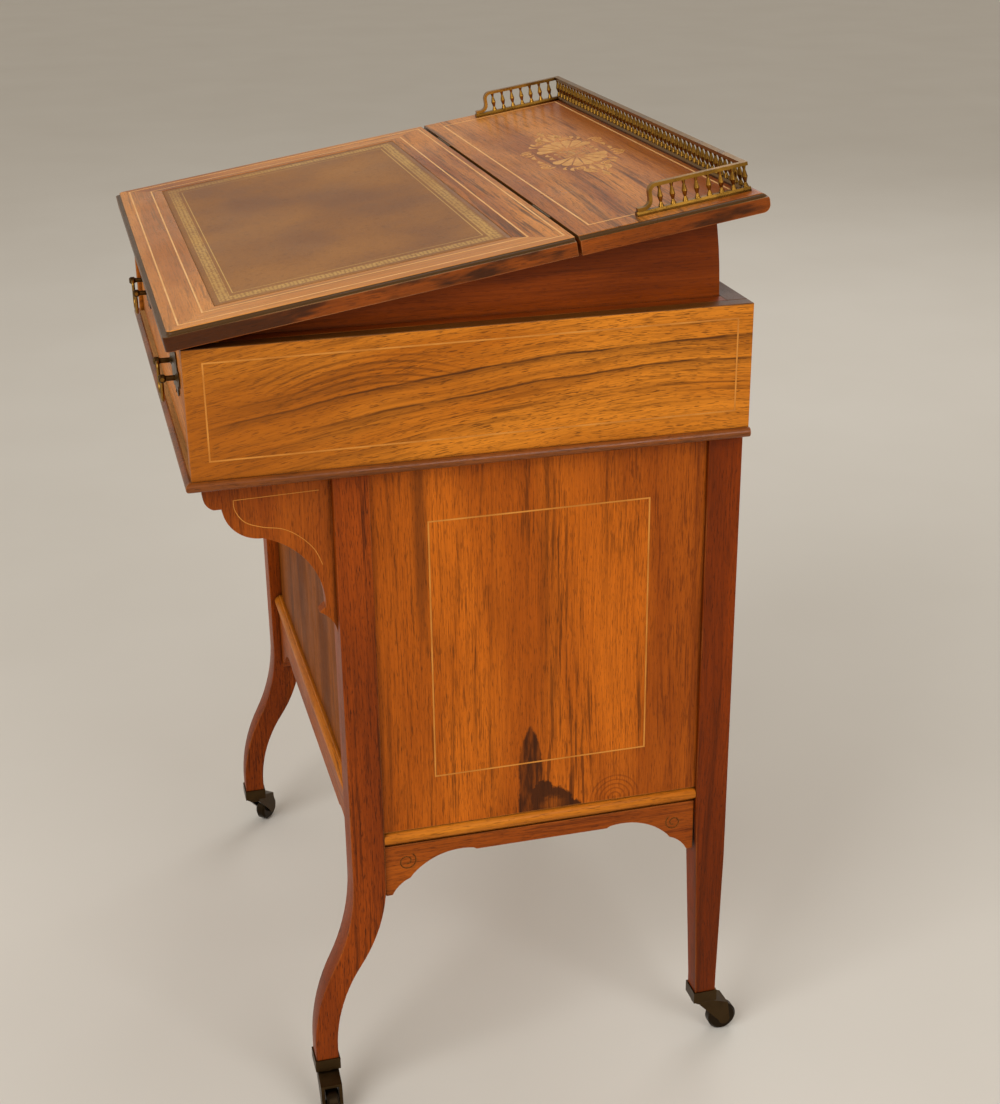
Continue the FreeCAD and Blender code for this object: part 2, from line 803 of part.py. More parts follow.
def make_fork(name, at, swivel):
    fork = new_body(name)
    crown_top = cup_bottom - S.seat_gap
    crown_bottom = crown_top - S.fork_crown
    stem_top = S.foot_height - S.seat_gap
    crown = outline(fork, f"{name}Crown", "XZ_Plane", [
        (0, crown_bottom), (S.fork_radius, crown_bottom), (S.fork_radius, crown_top),
        (S.stem_radius, crown_top), (S.stem_radius, stem_top), (0, stem_top),
    ])
    turn(fork, crown, "V_Axis")
    cheek_inside = S.wheel_width / 2 + S.fork_gap
    cheek_outside = cheek_inside + S.fork_cheek
    eye = S.fork_eye_radius
    hood_top = crown_top - S.fork_hood_drop
    upper_edge = [
        (-S.fork_radius / 2, crown_bottom),
        (-S.fork_radius / 2, crown_top),
        (S.fork_radius / 2, crown_top),
        (S.fork_hood_reach, hood_top),
    ]
    hood = outline(fork, f"{name}Hood", "YZ_Plane", [
        *upper_edge,
        (S.fork_hood_reach, hood_top - S.fork_hood_board),
        (S.fork_radius / 2, crown_bottom),
    ], (0, 0, -cheek_outside))
    pad(fork, hood, 2 * cheek_outside)
    for side, start in (("right", cheek_inside), ("left", -cheek_outside)):
        cheek = outline(fork, f"{name}Cheek{side}", "YZ_Plane", [
            *upper_edge,
            (S.caster_trail + eye, S.wheel_radius, ROUND_SHARE),
            (S.caster_trail - eye, S.wheel_radius),
        ], (0, 0, start))
        pad(fork, cheek, S.fork_cheek)
    axle = circle(fork, f"{name}Axle", "YZ_Plane", (S.caster_trail, S.wheel_radius), S.axle_radius,
                  (0, 0, -cheek_outside))
    pad(fork, axle, 2 * cheek_outside)
    place(fork, at, angle=swivel)
    return fork


def make_wheel(name, at, swivel):
    wheel = new_body(name)
    half = S.wheel_width / 2
    bore = S.axle_radius + S.pin_clearance
    tread = S.wheel_radius - S.wheel_rim
    section = outline(wheel, f"{name}Section", "XZ_Plane", [
        (-half, bore), (half, bore), (half, tread), (half - S.wheel_rim, S.wheel_radius),
        (S.wheel_rim - half, S.wheel_radius), (-half, tread),
    ], (0, S.wheel_radius, -S.caster_trail))
    turn(wheel, section, "H_Axis")
    place(wheel, at, angle=swivel)
    return wheel


def circle_y(level, radius):
    """Y of a circle about the slope's hinge, at a height."""
    return hinge_y + root(radius * radius - (level - hinge_z) * (level - hinge_z))


def make_riser():
    """Two wedge-shaped sides, a back curved about the hinge, and a front rail."""
    sides = []
    for name, start in (("Left", -riser_outer), ("Right", riser_inner)):
        side = new_body(f"RiserSide{name}")
        wedge = outline(side, f"RiserWedge{name}", "YZ_Plane", [
            (riser_front, riser_top),
            (circle_y(riser_top, riser_radius), riser_top, Bend(riser_radius, True)),
            (circle_y(riser_heel, riser_radius), riser_heel),
            (riser_front, riser_top - S.riser_toe_depth),
        ], (0, 0, start))
        pad(side, wedge, S.riser_side)
        raise_slope(side)
        sides.append(side)
    cut_stay_slot(sides[0])
    node(together("RiserSides", sides), "riser_sides")
    inner = riser_radius - S.riser_back
    back = new_body("RiserBack")
    section = outline(back, "RiserBackSection", "YZ_Plane", [
        (circle_y(riser_top, riser_radius), riser_top, Bend(riser_radius, True)),
        (circle_y(riser_heel, riser_radius), riser_heel),
        (circle_y(riser_heel, inner), riser_heel, Bend(inner, False)),
        (circle_y(riser_top, inner), riser_top),
    ], (0, 0, -riser_inner))
    pad(back, section, 2 * riser_inner)
    raise_slope(back)
    node(back, "riser_back")
    rail = block("RiserRail", (-riser_inner, riser_inner), (riser_front, riser_front + S.riser_rail_depth),
                 (riser_top - S.riser_toe_depth, riser_top), raised=True)
    recesses = []
    for name, hand in HANDS:
        recesses.append(block(f"StrapRecess{name}", strap_span(hand),
                              (riser_front - S.overrun, riser_front + S.strap_grip),
                              (riser_top - S.hinge_leaf, riser_top + S.overrun), raised=True))
    node(less("RiserFrontRail", rail, together("StrapRecesses", recesses)), "riser_front_rail")


def cut_stay_slot(side):
    """A curved slot that the stay's bolt follows as the slope rises."""
    reach = root(bolt_y * bolt_y + bolt_z * bolt_z)
    lower_y = bolt_y * cosine(S.slope_tilt) + bolt_z * sine(S.slope_tilt)
    lower_z = bolt_z * cosine(S.slope_tilt) - bolt_y * sine(S.slope_tilt)
    half = S.stay_bolt_radius + S.stay_slot_gap
    outer = 1 + half / reach
    inner = 1 - half / reach
    slack = S.stay_slack / reach
    top_y = bolt_y - bolt_z * slack
    top_z = bolt_z + bolt_y * slack
    end_y = lower_y + lower_z * slack
    end_z = lower_z - lower_y * slack
    slot = outline(side, "StaySlot", "YZ_Plane", [
        (hinge_y + top_y * inner, hinge_z + top_z * inner, ROUND_SHARE),
        (hinge_y + top_y * outer, hinge_z + top_z * outer, Bend(reach + half, True)),
        (hinge_y + end_y * outer, hinge_z + end_z * outer, ROUND_SHARE),
        (hinge_y + end_y * inner, hinge_z + end_z * inner, Bend(reach - half, False)),
    ])
    pocket_through(side, slot)


def make_stay():
    """A bolt fixed in the left slope guide, and a nut on it that clamps the riser."""
    nut_start = S.seat_gap - riser_inner
    nut_end = nut_start + S.stay_nut_length
    at = (hinge_y + bolt_y, hinge_z + bolt_z)
    bolt = rod_along_x("StayBolt", S.stay_bolt_radius, (-lining_inside, nut_end + S.stay_bolt_end), *at)
    node(bolt, "stay_bolt")
    nut = new_body("StayNut")
    corners = [(S.stay_nut_radius * across, S.stay_nut_radius * up) for across, up in HEXAGON_SHARES]
    pad(nut, outline(nut, "NutCorners", "YZ_Plane", corners), S.stay_nut_length)
    pocket_through(nut, circle(nut, "NutBore", "YZ_Plane", (0, 0), S.stay_bolt_radius + S.pin_clearance))
    place(nut, (nut_start, *at))
    node(nut, "stay_nut")


def rounded_front(half_width, y_span):
    """A rectangle about the middle whose front corners are rounded."""
    front, back = y_span
    corner = front + S.lid_corner_radius
    flat = half_width - S.lid_corner_radius
    bend = Bend(S.lid_corner_radius, False)
    return [(-flat, front), (flat, front, bend), (half_width, corner), (half_width, back),
            (-half_width, back), (-half_width, corner, bend)]


def stepped_top(name, y_span, bottom, full, smaller):
    """A board of the slope with a coved step between its full lower part and its smaller upper part."""
    board = new_body(name)
    step = lid_top - S.cove_depth
    pad(board, outline(board, f"{name}Lower", "XY_Plane", full, (0, 0, bottom)), step - bottom)
    raised = pad(board, outline(board, f"{name}Upper", "XY_Plane", smaller, (0, 0, step)), S.cove_depth)
    doc.recompute()
    cove = board.newObject("PartDesign::Fillet", f"{name}Cove")
    cove.Base = (raised, step_edges(raised, step, y_span))
    bind(cove, "Radius", S.cove_radius)
    raise_slope(board)
    return board


def step_edges(feature, level, y_span):
    """Names of the inner edges of a coved step, leaving out an edge that lies on the board's own face."""
    names = []
    for number, edge in enumerate(feature.Shape.Edges, 1):
        ends = [vertex.Point for vertex in edge.Vertexes]
        flat = all(math.isclose(end.z, level.value) for end in ends)
        reach = max(abs(end.x) for end in ends)
        within = reach < lid_side.value and not math.isclose(reach, lid_side.value)
        on_face = any(all(math.isclose(end.y, y.value) for end in ends) for y in y_span)
        if flat and within and not on_face:
            names.append(f"Edge{number}")
    return names


def round_back(board, name, level, upward):
    """Rounds one of the shelf's two long back edges."""
    way = 1 if upward else -1
    curve_end = level - way * S.shelf_back_round
    curve_start = shelf_back - S.shelf_back_round
    corner = outline(board, name, "YZ_Plane", [
        (curve_start, level, Bend(S.shelf_back_round, upward)),
        (shelf_back, curve_end),
        (shelf_back + S.overrun, curve_end),
        (shelf_back + S.overrun, level + way * S.overrun),
        (curve_start, level + way * S.overrun),
    ])
    pocket_through(board, corner)


def make_slope():
    upper_side = lid_side - S.cove_width
    lid_span = (lid_front, lid_back)
    lid = stepped_top("WritingLid", lid_span, lid_bottom, rounded_front(lid_side, lid_span),
                      rounded_front(upper_side, (lid_front + S.cove_width, lid_back)))
    leather_edge = lid_side - S.leather_side_margin
    leather_x = (-leather_edge, leather_edge)
    leather_y = (lid_front + S.leather_front_margin, lid_back - S.leather_back_margin)
    recess = outline(lid, "LeatherRecess", "XY_Plane", rectangle(leather_x, leather_y), (0, 0, lid_top))
    pocket_down(lid, recess, S.leather_recess)
    node(lid, "writing_lid")
    leather_bottom = lid_top - S.leather_recess
    leather_z = (leather_bottom, leather_bottom + S.leather_thickness)
    node(block("Leather", leather_x, leather_y, leather_z, raised=True), "leather")
    shelf_span = (shelf_front, shelf_back)
    shelf = stepped_top("Shelf", shelf_span, riser_top, rectangle((-lid_side, lid_side), shelf_span),
                        rectangle((-upper_side, upper_side), shelf_span))
    round_back(shelf, "ShelfBackTop", lid_top, True)
    round_back(shelf, "ShelfBackBottom", riser_top, False)
    node(shelf, "shelf")


def make_gallery():
    """A three-quarter gallery: a base rail, turned spindles, and a top rail curled down at its ends."""
    outer = lid_side - S.gallery_side_inset
    back = shelf_back - S.gallery_back_inset
    tip = back - S.gallery_run
    centre = S.gallery_base_width / 2
    base_top = lid_top + S.gallery_base_height
    base_inside = outer - S.gallery_base_width
    half = S.gallery_base_height / 2
    step = S.gallery_base_step
    section = [(0, 0), (S.gallery_base_width, 0), (S.gallery_base_width, half),
               (S.gallery_base_width - step, S.gallery_base_height),
               (step, S.gallery_base_height), (0, half)]
    side_base = new_body("GallerySideBase")
    side_section = outline(side_base, "SideBaseSection", "XZ_Plane", section, (base_inside, lid_top, -back))
    pad(side_base, side_section, S.gallery_run)
    raise_slope(side_base)
    back_base = new_body("GalleryBackBase")
    back_section = outline(back_base, "BackBaseSection", "YZ_Plane", section,
                           (back - S.gallery_base_width, lid_top, -base_inside))
    pad(back_base, back_section, 2 * base_inside)
    raise_slope(back_base)
    bases = [side_base, mirrored("GallerySideBaseTwin", side_base), back_base]
    node(together("GalleryBase", bases), "gallery_base_rail")

    top = lid_top + S.gallery_height
    under = top - S.gallery_rail_height
    thick = S.gallery_rail_height
    bend = S.gallery_bend_radius
    curl = S.gallery_curl_radius
    drop = tip + S.gallery_curl_setback
    rail_half = S.gallery_rail_width / 2
    rail_inside = outer - centre - rail_half
    side_rail = new_body("GallerySideRail")
    strip = outline(side_rail, "SideRailStrip", "YZ_Plane", [
        (back - centre + rail_half, top),
        (drop + bend, top, Bend(bend, False)),
        (drop, top - bend),
        (drop, base_top + thick + curl, Bend(curl, True)),
        (drop - curl, base_top + thick),
        (tip + step, base_top + thick),
        (tip + step, base_top),
        (drop - curl, base_top, Bend(curl + thick, False)),
        (drop + thick, base_top + thick + curl),
        (drop + thick, top - bend, Bend(bend - thick, True)),
        (drop + bend, under),
        (back - centre + rail_half, under),
    ], (0, 0, rail_inside))
    pad(side_rail, strip, S.gallery_rail_width)
    raise_slope(side_rail)
    back_rail = block("GalleryBackRail", (-rail_inside, rail_inside),
                      (back - centre - rail_half, back - centre + rail_half), (under, top), raised=True)
    rails = [side_rail, mirrored("GallerySideRailTwin", side_rail), back_rail]
    node(together("GalleryTop", rails), "gallery_top_rail")

    spindle = new_body("Spindle")
    tall = under - base_top
    rings = [(S.spindle_radius * radius, tall * level) for radius, level in SPINDLE_SHARES]
    turn(spindle, outline(spindle, "SpindleSection", "XZ_Plane", [(0, 0), *rings, (0, tall)]), "V_Axis")
    doc.recompute()
    corner_x = (outer - centre).value
    corner_y = (back - centre).value
    pitch = S.spindle_pitch.value
    gaps = round(2 * corner_x / pitch)
    spots = [(corner_x * (2 * number / gaps - 1), corner_y) for number in range(gaps + 1)]
    for number in range(1, SIDE_SPINDLES):
        spots += [(hand * corner_x, corner_y - pitch * number) for name, hand in HANDS]
    row = doc.addObject("Part::Feature", "GallerySpindles")
    copies = [spindle.Shape.translated(FreeCAD.Vector(x, y, base_top.value)) for x, y in spots]
    row.Shape = Part.makeCompound(copies)
    raise_slope(row)
    node(row, "gallery_spindles")


def thirds(middle, length):
    """The three lengths of a hinge's knuckles, with a gap on each side of the middle one."""
    end = length / 2
    inner = length / 6
    return [
        (middle - end, middle - inner),
        (middle - inner + S.knuckle_gap, middle + inner - S.knuckle_gap),
        (middle + inner, middle + end),
    ]


def strap_span(hand):
    return thirds(hand * hinge_x, S.slope_hinge_length)[1]


def make_slope_hinges():
    """Leaves and pins on the box's front rail, and straps that run back into the riser's front rail."""
    butts = []
    straps = []
    low = hinge_z - S.slope_leaf_height
    clear = hinge_z - S.slope_knuckle_radius - S.knuckle_gap
    for name, hand in HANDS:
        first, middle, last = thirds(hand * hinge_x, S.slope_hinge_length)
        whole = (first[0], last[1])
        pieces = [
            block(f"SlopeLeaf{name}", whole, (box_front - S.hinge_leaf, box_front), (low, clear)),
            rod_along_x(f"SlopePin{name}", S.slope_pin_radius, whole, hinge_y, hinge_z),
        ]
        for place_name, span in (("First", first), ("Last", last)):
            barrel = rod_along_x(f"Slope{place_name}{name}", S.slope_knuckle_radius, span, hinge_y, hinge_z)
            neck = block(f"Slope{place_name}Neck{name}", span, (hinge_y, box_front), (clear, hinge_z))
            pieces += [barrel, neck]
        butts.append(joined(f"SlopeButt{name}", pieces))
        tongue = block(f"StrapTongue{name}", middle, (hinge_y, riser_front + S.strap_grip),
                       (riser_top - S.hinge_leaf, riser_top), raised=True)
        barrel = rod_along_x(f"StrapBarrel{name}", S.slope_knuckle_radius, middle, hinge_y, hinge_z,
                             raised=True)
        bore = rod_along_x(f"StrapBore{name}", S.slope_pin_radius + S.pin_clearance, whole, hinge_y, hinge_z)
        straps.append(less(f"Strap{name}", joined(f"StrapBlank{name}", [tongue, barrel]), bore))
    node(together("SlopeHingeButts", butts), "slope_hinge_butts")
    node(together("SlopeHingeStraps", straps), "slope_hinge_straps")


def make_lid_hinges():
    """Narrow butt hinges in the gap between the lid and the shelf."""
    axis_y = (lid_back + shelf_front) / 2
    axis_z = lid_top - S.lid_knuckle_radius
    low = axis_z - S.lid_leaf_height
    clear = axis_z - S.lid_knuckle_radius - S.knuckle_gap
    shelf_leaf = (shelf_front - S.lid_leaf, shelf_front)
    lid_leaf = (lid_back, lid_back + S.lid_leaf)
    butts = []
    flaps = []
    for name, hand in HANDS:
        first, middle, last = thirds(hand * hinge_x, S.lid_hinge_length)
        whole = (first[0], last[1])

        def barrel(label, radius, span):
            return rod_along_x(f"{label}{name}", radius, span, axis_y, axis_z, raised=True)

        def leaf(label, span, leaf_y, leaf_z):
            return block(f"{label}{name}", span, leaf_y, leaf_z, raised=True)

        butts.append(joined(f"LidButt{name}", [
            leaf("LidLeaf", whole, shelf_leaf, (low, clear)),
            leaf("LidFirstNeck", first, shelf_leaf, (clear, axis_z)),
            leaf("LidLastNeck", last, shelf_leaf, (clear, axis_z)),
            barrel("LidFirst", S.lid_knuckle_radius, first),
            barrel("LidLast", S.lid_knuckle_radius, last),
            barrel("LidPin", S.lid_pin_radius, whole),
        ]))
        blank = joined(f"FlapBlank{name}", [
            leaf("FlapLeaf", whole, lid_leaf, (low, clear)),
            leaf("FlapNeck", middle, lid_leaf, (clear, axis_z)),
            barrel("FlapBarrel", S.lid_knuckle_radius, middle),
        ])
        bore = barrel("FlapBore", S.lid_pin_radius + S.pin_clearance, whole)
        flaps.append(less(f"Flap{name}", blank, bore))
    node(together("LidHingeButts", butts), "lid_hinge_butts")
    node(together("LidHingeFlaps", flaps), "lid_hinge_flaps")


def four_quarters(quarter, half_length, half_height):
    """A whole outline from one quarter of it."""
    upper = with_twin([(along * half_length, up * half_height, bulge) for along, up, bulge in quarter])[:-1]
    return upper + [(-size(along), -size(up), bulge) for along, up, bulge in upper]


def make_mount(name, at, angle, height):
    """A handle's back plate and its two posts, as separate pieces."""
    plate = new_body(f"{name}Plate")
    shape = four_quarters(PLATE_SHARES, S.plate_length / 2, height / 2)
    pad(plate, outline(plate, f"{name}PlateFace", "XZ_Plane", shape), S.plate_thickness)
    place(plate, at, angle=angle)
    pieces = [plate]
    head_start = S.post_length - S.post_head_length / 2
    head_end = S.post_length + S.post_head_length / 2
    chamfer = S.post_head_length / 4
    for side, hand in HANDS:
        post = new_body(f"{name}Post{side}")
        section = outline(post, f"{name}PostSection{side}", "XY_Plane", [
            (0, -S.plate_thickness),
            (S.post_collar_radius, -S.plate_thickness),
            (S.post_radius, -S.plate_thickness - S.post_collar_height),
            (S.post_radius, -head_start),
            (S.post_head_radius, -head_start - chamfer),
            (S.post_head_radius, chamfer - head_end),
            (S.post_radius, -head_end),
            (0, -head_end),
        ], (hand * S.post_spacing / 2, 0, 0))
        turn(post, section, "V_Axis")
        eye = circle(post, f"{name}Eye{side}", "YZ_Plane", (-S.post_length, 0),
                     S.bail_radius + S.pin_clearance)
        pocket_through(post, eye)
        place(post, at, angle=angle)
        pieces.append(post)
    return pieces


def make_bail(name, at, angle):
    """A drop handle bent from round wire, its ends turning in the posts."""
    bail = new_body(name)
    end = S.post_spacing / 2 + S.post_head_radius
    shoulder = S.bail_shoulder_radius
    corner = S.bail_corner_radius
    upright = S.post_spacing / 2 - S.bail_inset - shoulder
    half = [
        (end, 0, 0),
        (upright + shoulder, 0, Bend(shoulder, False)),
        (upright, -shoulder, 0),
        (upright, corner - S.bail_drop, Bend(corner, True)),
        (upright - corner, -S.bail_drop, 0),
    ]
    spine = outline(bail, f"{name}Spine", "XZ_Plane", with_twin(half), (0, 0, S.post_length), closed=False)
    wire = circle(bail, f"{name}Wire", "YZ_Plane", (-S.post_length, 0), S.bail_radius, (0, 0, end))
    pipe = bail.newObject("PartDesign::AdditivePipe", f"{name}Pipe")
    pipe.Profile = wire
    pipe.Spine = spine
    place(bail, at, angle=angle)
    return bail


def tray(name, x_span, y_span, z_span, open_along):
    """The boards of a drawer behind its face: two sides, a back and a bottom."""
    board = S.tray_board
    floor = z_span[0] + S.tray_bottom
    if open_along == "y":
        sides = [((x_span[0], x_span[0] + board), y_span), ((x_span[1] - board, x_span[1]), y_span)]
        between = ((x_span[0] + board, x_span[1] - board), (y_span[1] - board, y_span[1]))
        base = ((x_span[0] + board, x_span[1] - board), y_span)
    else:
        sides = [(x_span, (y_span[0], y_span[0] + board)), (x_span, (y_span[1] - board, y_span[1]))]
        between = ((x_span[1] - board, x_span[1]), (y_span[0] + board, y_span[1] - board))
        base = (x_span, (y_span[0] + board, y_span[1] - board))
    boards = [block(f"{name}Side{number}", x, y, z_span) for number, (x, y) in enumerate(sides)]
    boards.append(block(f"{name}Back", *between, (floor, z_span[1])))
    boards.append(block(f"{name}Base", *base, (z_span[0], floor)))
    return boards


def make_front_drawer():
    face_front = box_front + S.front_face_recess
    face_back = face_front + S.front_face_board
    face_side = box_inside - S.drawer_gap
    node(block("FrontDrawerFace", (-face_side, face_side), (face_front, face_back),
               (floor_top + S.drawer_gap, rail_bottom - S.drawer_gap)), "front_drawer_face")
    tray_side = guide_inner - S.tray_side_gap
    boards = tray("FrontTray", (-tray_side, tray_side), (face_back, inner_back - S.front_tray_end_gap),
                  (floor_top + S.seat_gap, well_under - S.tray_top_gap), "y")
    node(together("FrontTray", boards), "front_drawer_tray")
    mounts = []
    for name, hand in HANDS:
        at = (hand * (box_side - S.handle_inset), face_front, S.rim_height - S.handle_drop)
        mounts += make_mount(f"Front{name}", at, 0, S.plate_height)
        node(make_bail(f"FrontBail{name}", at, 0), f"front_bail_{name}")
    node(together("FrontMounts", mounts), "front_drawer_mounts")


def make_side_drawers():
    spans = side_drawer_spans()
    shallow_low, shallow_high = spans[-1]
    plate_height = shallow_high - shallow_low - 2 * (S.drawer_gap + S.side_plate_margin)
    for number, (low, high) in enumerate(spans, 1):
        face_back = S.side_face_board - panel_face
        face = block(f"SideFace{number}", (-panel_face, face_back),
                     (leg_back + S.drawer_gap, rear_leg_front - S.drawer_gap),
                     (low + S.drawer_gap, high - S.drawer_gap))
        boards = tray(f"SideTray{number}", (face_back, panel_inside - S.tray_end_gap),
                      (leg_back + S.tray_side_gap, rear_leg_front - S.tray_side_gap),
                      (low + S.seat_gap, high - S.tray_top_gap), "x")
        node(together(f"SideDrawer{number}", [face, *boards]), f"side_drawer_{number}")
        at = (-panel_face, (leg_back + rear_leg_front) / 2, (low + high) / 2 + S.bail_drop / 4)
        mount = together(f"SideMount{number}", make_mount(f"Side{number}", at, -90, plate_height))
        node(mount, f"side_drawer_{number}_mount")
        node(make_bail(f"SideBail{number}", at, -90), f"side_drawer_{number}_bail")


def write_parts():
    """Checks every object and writes one STEP file for each node."""
    doc.recompute()
    for thing in doc.Objects:
        if "Invalid" in thing.State or "Error" in thing.State:
            raise RuntimeError(f"{thing.Name} did not build: {thing.State}")
    os.makedirs("parts", exist_ok=True)
    for piece in NODES:
        shape = piece.Shape
        if shape.isNull() or not shape.isValid() or not shape.Solids:
            raise RuntimeError(f"{piece.Label} has no sound shape")
        shape.exportStep(os.path.join("parts", f"{piece.Label}.step"))


make_box()
make_base_moulding()
make_pedestal()
make_dust_boards()
make_casters()
make_riser()
make_stay()
make_slope()
make_gallery()
make_slope_hinges()
make_lid_hinges()
make_front_drawer()
make_side_drawers()
write_parts()
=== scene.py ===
# %% [markdown]
# # An inlaid rosewood davenport
# A davenport is a small writing desk: a box with a sloping lid stands on a
# pedestal of drawers. This one is shown with its whole top raised on a
# rising frame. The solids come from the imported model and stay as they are,
# in metres. This lesson gives them their woods, brass and leather, and adds
# what is too fine for the solids: inlaid lines, marquetry and tooling.

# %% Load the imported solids
import math

import bmesh
import bpy
from mathutils import Matrix, Vector


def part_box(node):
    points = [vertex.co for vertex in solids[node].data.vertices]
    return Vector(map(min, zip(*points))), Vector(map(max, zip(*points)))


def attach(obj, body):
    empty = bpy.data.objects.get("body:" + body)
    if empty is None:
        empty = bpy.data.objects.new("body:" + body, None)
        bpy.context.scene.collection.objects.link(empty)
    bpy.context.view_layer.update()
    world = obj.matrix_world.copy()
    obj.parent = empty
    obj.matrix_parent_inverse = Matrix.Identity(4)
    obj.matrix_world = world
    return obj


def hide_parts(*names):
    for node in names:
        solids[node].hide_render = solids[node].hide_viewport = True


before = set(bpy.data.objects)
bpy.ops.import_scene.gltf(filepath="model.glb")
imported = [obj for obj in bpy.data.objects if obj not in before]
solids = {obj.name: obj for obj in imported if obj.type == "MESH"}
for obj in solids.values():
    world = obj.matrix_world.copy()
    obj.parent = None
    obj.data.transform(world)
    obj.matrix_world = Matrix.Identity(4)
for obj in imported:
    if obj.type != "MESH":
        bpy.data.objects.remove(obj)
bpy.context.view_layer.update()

# %% Define how new things enter the scene


def meshed(name, shape):
    """The mesh of a finished shape, which is then let go."""
    mesh = bpy.data.meshes.new(name)
    shape.to_mesh(mesh)
    shape.free()
    return mesh


def placed(name, data):
    """A new object of the scene that holds the data."""
    made = bpy.data.objects.new(name, data)
    bpy.context.scene.collection.objects.link(made)
    return made


print("New things enter", bpy.context.scene.name)

# %% [markdown]
# ## The camera
# The photograph looks down on the right side from near the front. Its place,
# turn and focal length were worked out from the straight edges of the desk.
# A lens in millimetres follows from the focal length in pixels, because
# Blender lays its 36 mm sensor along the longer side of the picture.

# %% Place the camera
PHOTO_HEIGHT = 1104
FOCAL_PIXELS = 1746.7
EYE = (1.5155, -0.3138, 1.0760)
YAW, PITCH, ROLL = 75.3, -22.9, -0.7


def turn(degrees, axis):
    return Matrix.Rotation(math.radians(degrees), 4, axis)


lens = bpy.data.cameras.new("photo_camera")
lens.sensor_width = 36
lens.lens = FOCAL_PIXELS / PHOTO_HEIGHT * lens.sensor_width
lens.clip_end = 100
camera = placed("photo_camera", lens)
aimed = turn(YAW, "Z") @ turn(90 + PITCH, "X") @ turn(ROLL, "Z")
camera.matrix_world = Matrix.Translation(EYE) @ aimed
bpy.context.scene.camera = camera
print("Lens:", round(lens.lens, 2), "mm")

# %% [markdown]
# ## A way to write materials
# Every finish here is a chain of shader nodes. A small class keeps the chains
# readable: each method adds one node and gives back its output, so that a
# finish reads from top to bottom like a recipe. Colours are written as the
# six digits a paint program shows, and turned into Blender's linear values.

# %% Define the finish recipe class
HOLLOW_REACH = 0.007


def tint(code):
    """A colour of six hexadecimal digits as linear red, green, blue and alpha."""
    parts = [int(code[place:place + 2], 16) / 255 for place in (0, 2, 4)]
    return [((part + 0.055) / 1.055) ** 2.4 if part > 0.04045 else part / 12.92
            for part in parts] + [1]


class Finish:
    """A material in the making; each method adds a node and gives its output."""

    def __init__(self, name):
        self.material = bpy.data.materials.new(name)
        self.material.use_nodes = True
        self.tree = self.material.node_tree
        self.tree.nodes.clear()
        self.place = self.node("TexCoord").outputs["Object"]

    def node(self, kind, feeds=(), **settings):
        made = self.tree.nodes.new("ShaderNode" + kind)
        for name, value in settings.items():
            setattr(made, name, value)
        for socket, value in dict(feeds).items():
            if isinstance(value, bpy.types.NodeSocket):
                self.tree.links.new(value, made.inputs[socket])
            else:
                made.inputs[socket].default_value = value
        return made

    def math(self, operation, *values):
        return self.node("Math", enumerate(values), operation=operation).outputs[0]

    def vector(self, operation, *values):
        return self.node("VectorMath", enumerate(values), operation=operation).outputs[0]

    def moved(self, place, scale=(1, 1, 1), shift=(0, 0, 0), degrees=(0, 0, 0)):
        angles = [math.radians(angle) for angle in degrees]
        feeds = {"Vector": place, "Location": shift, "Rotation": angles, "Scale": scale}
        return self.node("Mapping", feeds).outputs[0]

    def noise(self, place, scale=1, detail=2, rough=0.5, colour=False):
        feeds = {"Vector": place, "Scale": scale, "Detail": detail, "Roughness": rough}
        return self.node("TexNoise", feeds).outputs[1 if colour else 0]

    def step(self, value, start, end, low=0, high=1):
        feeds = {"Value": value, "From Min": start, "From Max": end, "To Min": low, "To Max": high}
        return self.node("MapRange", feeds, interpolation_type="SMOOTHSTEP").outputs[0]

    def within(self, value, low, high, soft):
        """One between two bounds and zero outside them, soft at both ends."""
        begun = self.step(value, low, low + soft)
        return self.math("MULTIPLY", begun, self.step(value, high, high - soft))

    def mix(self, share, first, second):
        feeds = {0: share, 6: first, 7: second}
        return self.node("Mix", feeds, data_type="RGBA").outputs[2]

    def length(self, place):
        return self.node("VectorMath", {0: place}, operation="LENGTH").outputs["Value"]

    def split(self, place):
        return self.node("SeparateXYZ", {0: place}).outputs

    def bump(self, height, depth):
        feeds = {"Height": height, "Distance": depth, "Strength": 1}
        return self.node("Bump", feeds).outputs[0]

    def sky(self, alone):
        """How open a point lies, among its own faces alone or its neighbours too."""
        feeds = {"Distance": HOLLOW_REACH}
        return self.node("AmbientOcclusion", feeds, samples=4, only_local=alone).outputs["AO"]

    def shade(self, feeds):
        shader = self.node("BsdfPrincipled", feeds)
        end = self.node("OutputMaterial")
        self.tree.links.new(shader.outputs[0], end.inputs[0])
        return self.material


print("A tint of wood:", [round(part, 3) for part in tint("A0622A")])

# %% [markdown]
# ## Floor and light
# The desk stands on a plain pale floor that runs out of the picture on every
# side. A pale world gives soft light from all round, and three large lamps give
# the polish something to catch: one high on the camera's left, a weaker one
# behind its right shoulder, and the weakest behind the desk.

# %% Lay the floor
FLOOR_REACH = 30

floor_shape = bmesh.new()
bmesh.ops.create_grid(floor_shape, x_segments=8, y_segments=8, size=FLOOR_REACH)
floor = placed("floor", meshed("floor", floor_shape))
pale = Finish("pale_floor")
cloud = pale.noise(pale.place, 3, 3)
floor.data.materials.append(pale.shade({
    "Base Color": pale.mix(cloud, tint("D2CDC4"), tint("DAD6CE")), "Roughness": 0.75}))
print("Floor reaches", FLOOR_REACH, "m")

# %% Hang the lamps and set the world
LAMPS = {  # place, side in metres, and power in watts
    "key_lamp": ((1.9, -2.4, 2.7), 2.0, 70),
    "side_lamp": ((2.9, 1.1, 2.0), 1.6, 34),
    "rear_lamp": ((-2.2, 1.8, 2.6), 1.8, 22),
}
AIM = Vector((0, 0, 0.5))
SKY_STRENGTH = 0.55

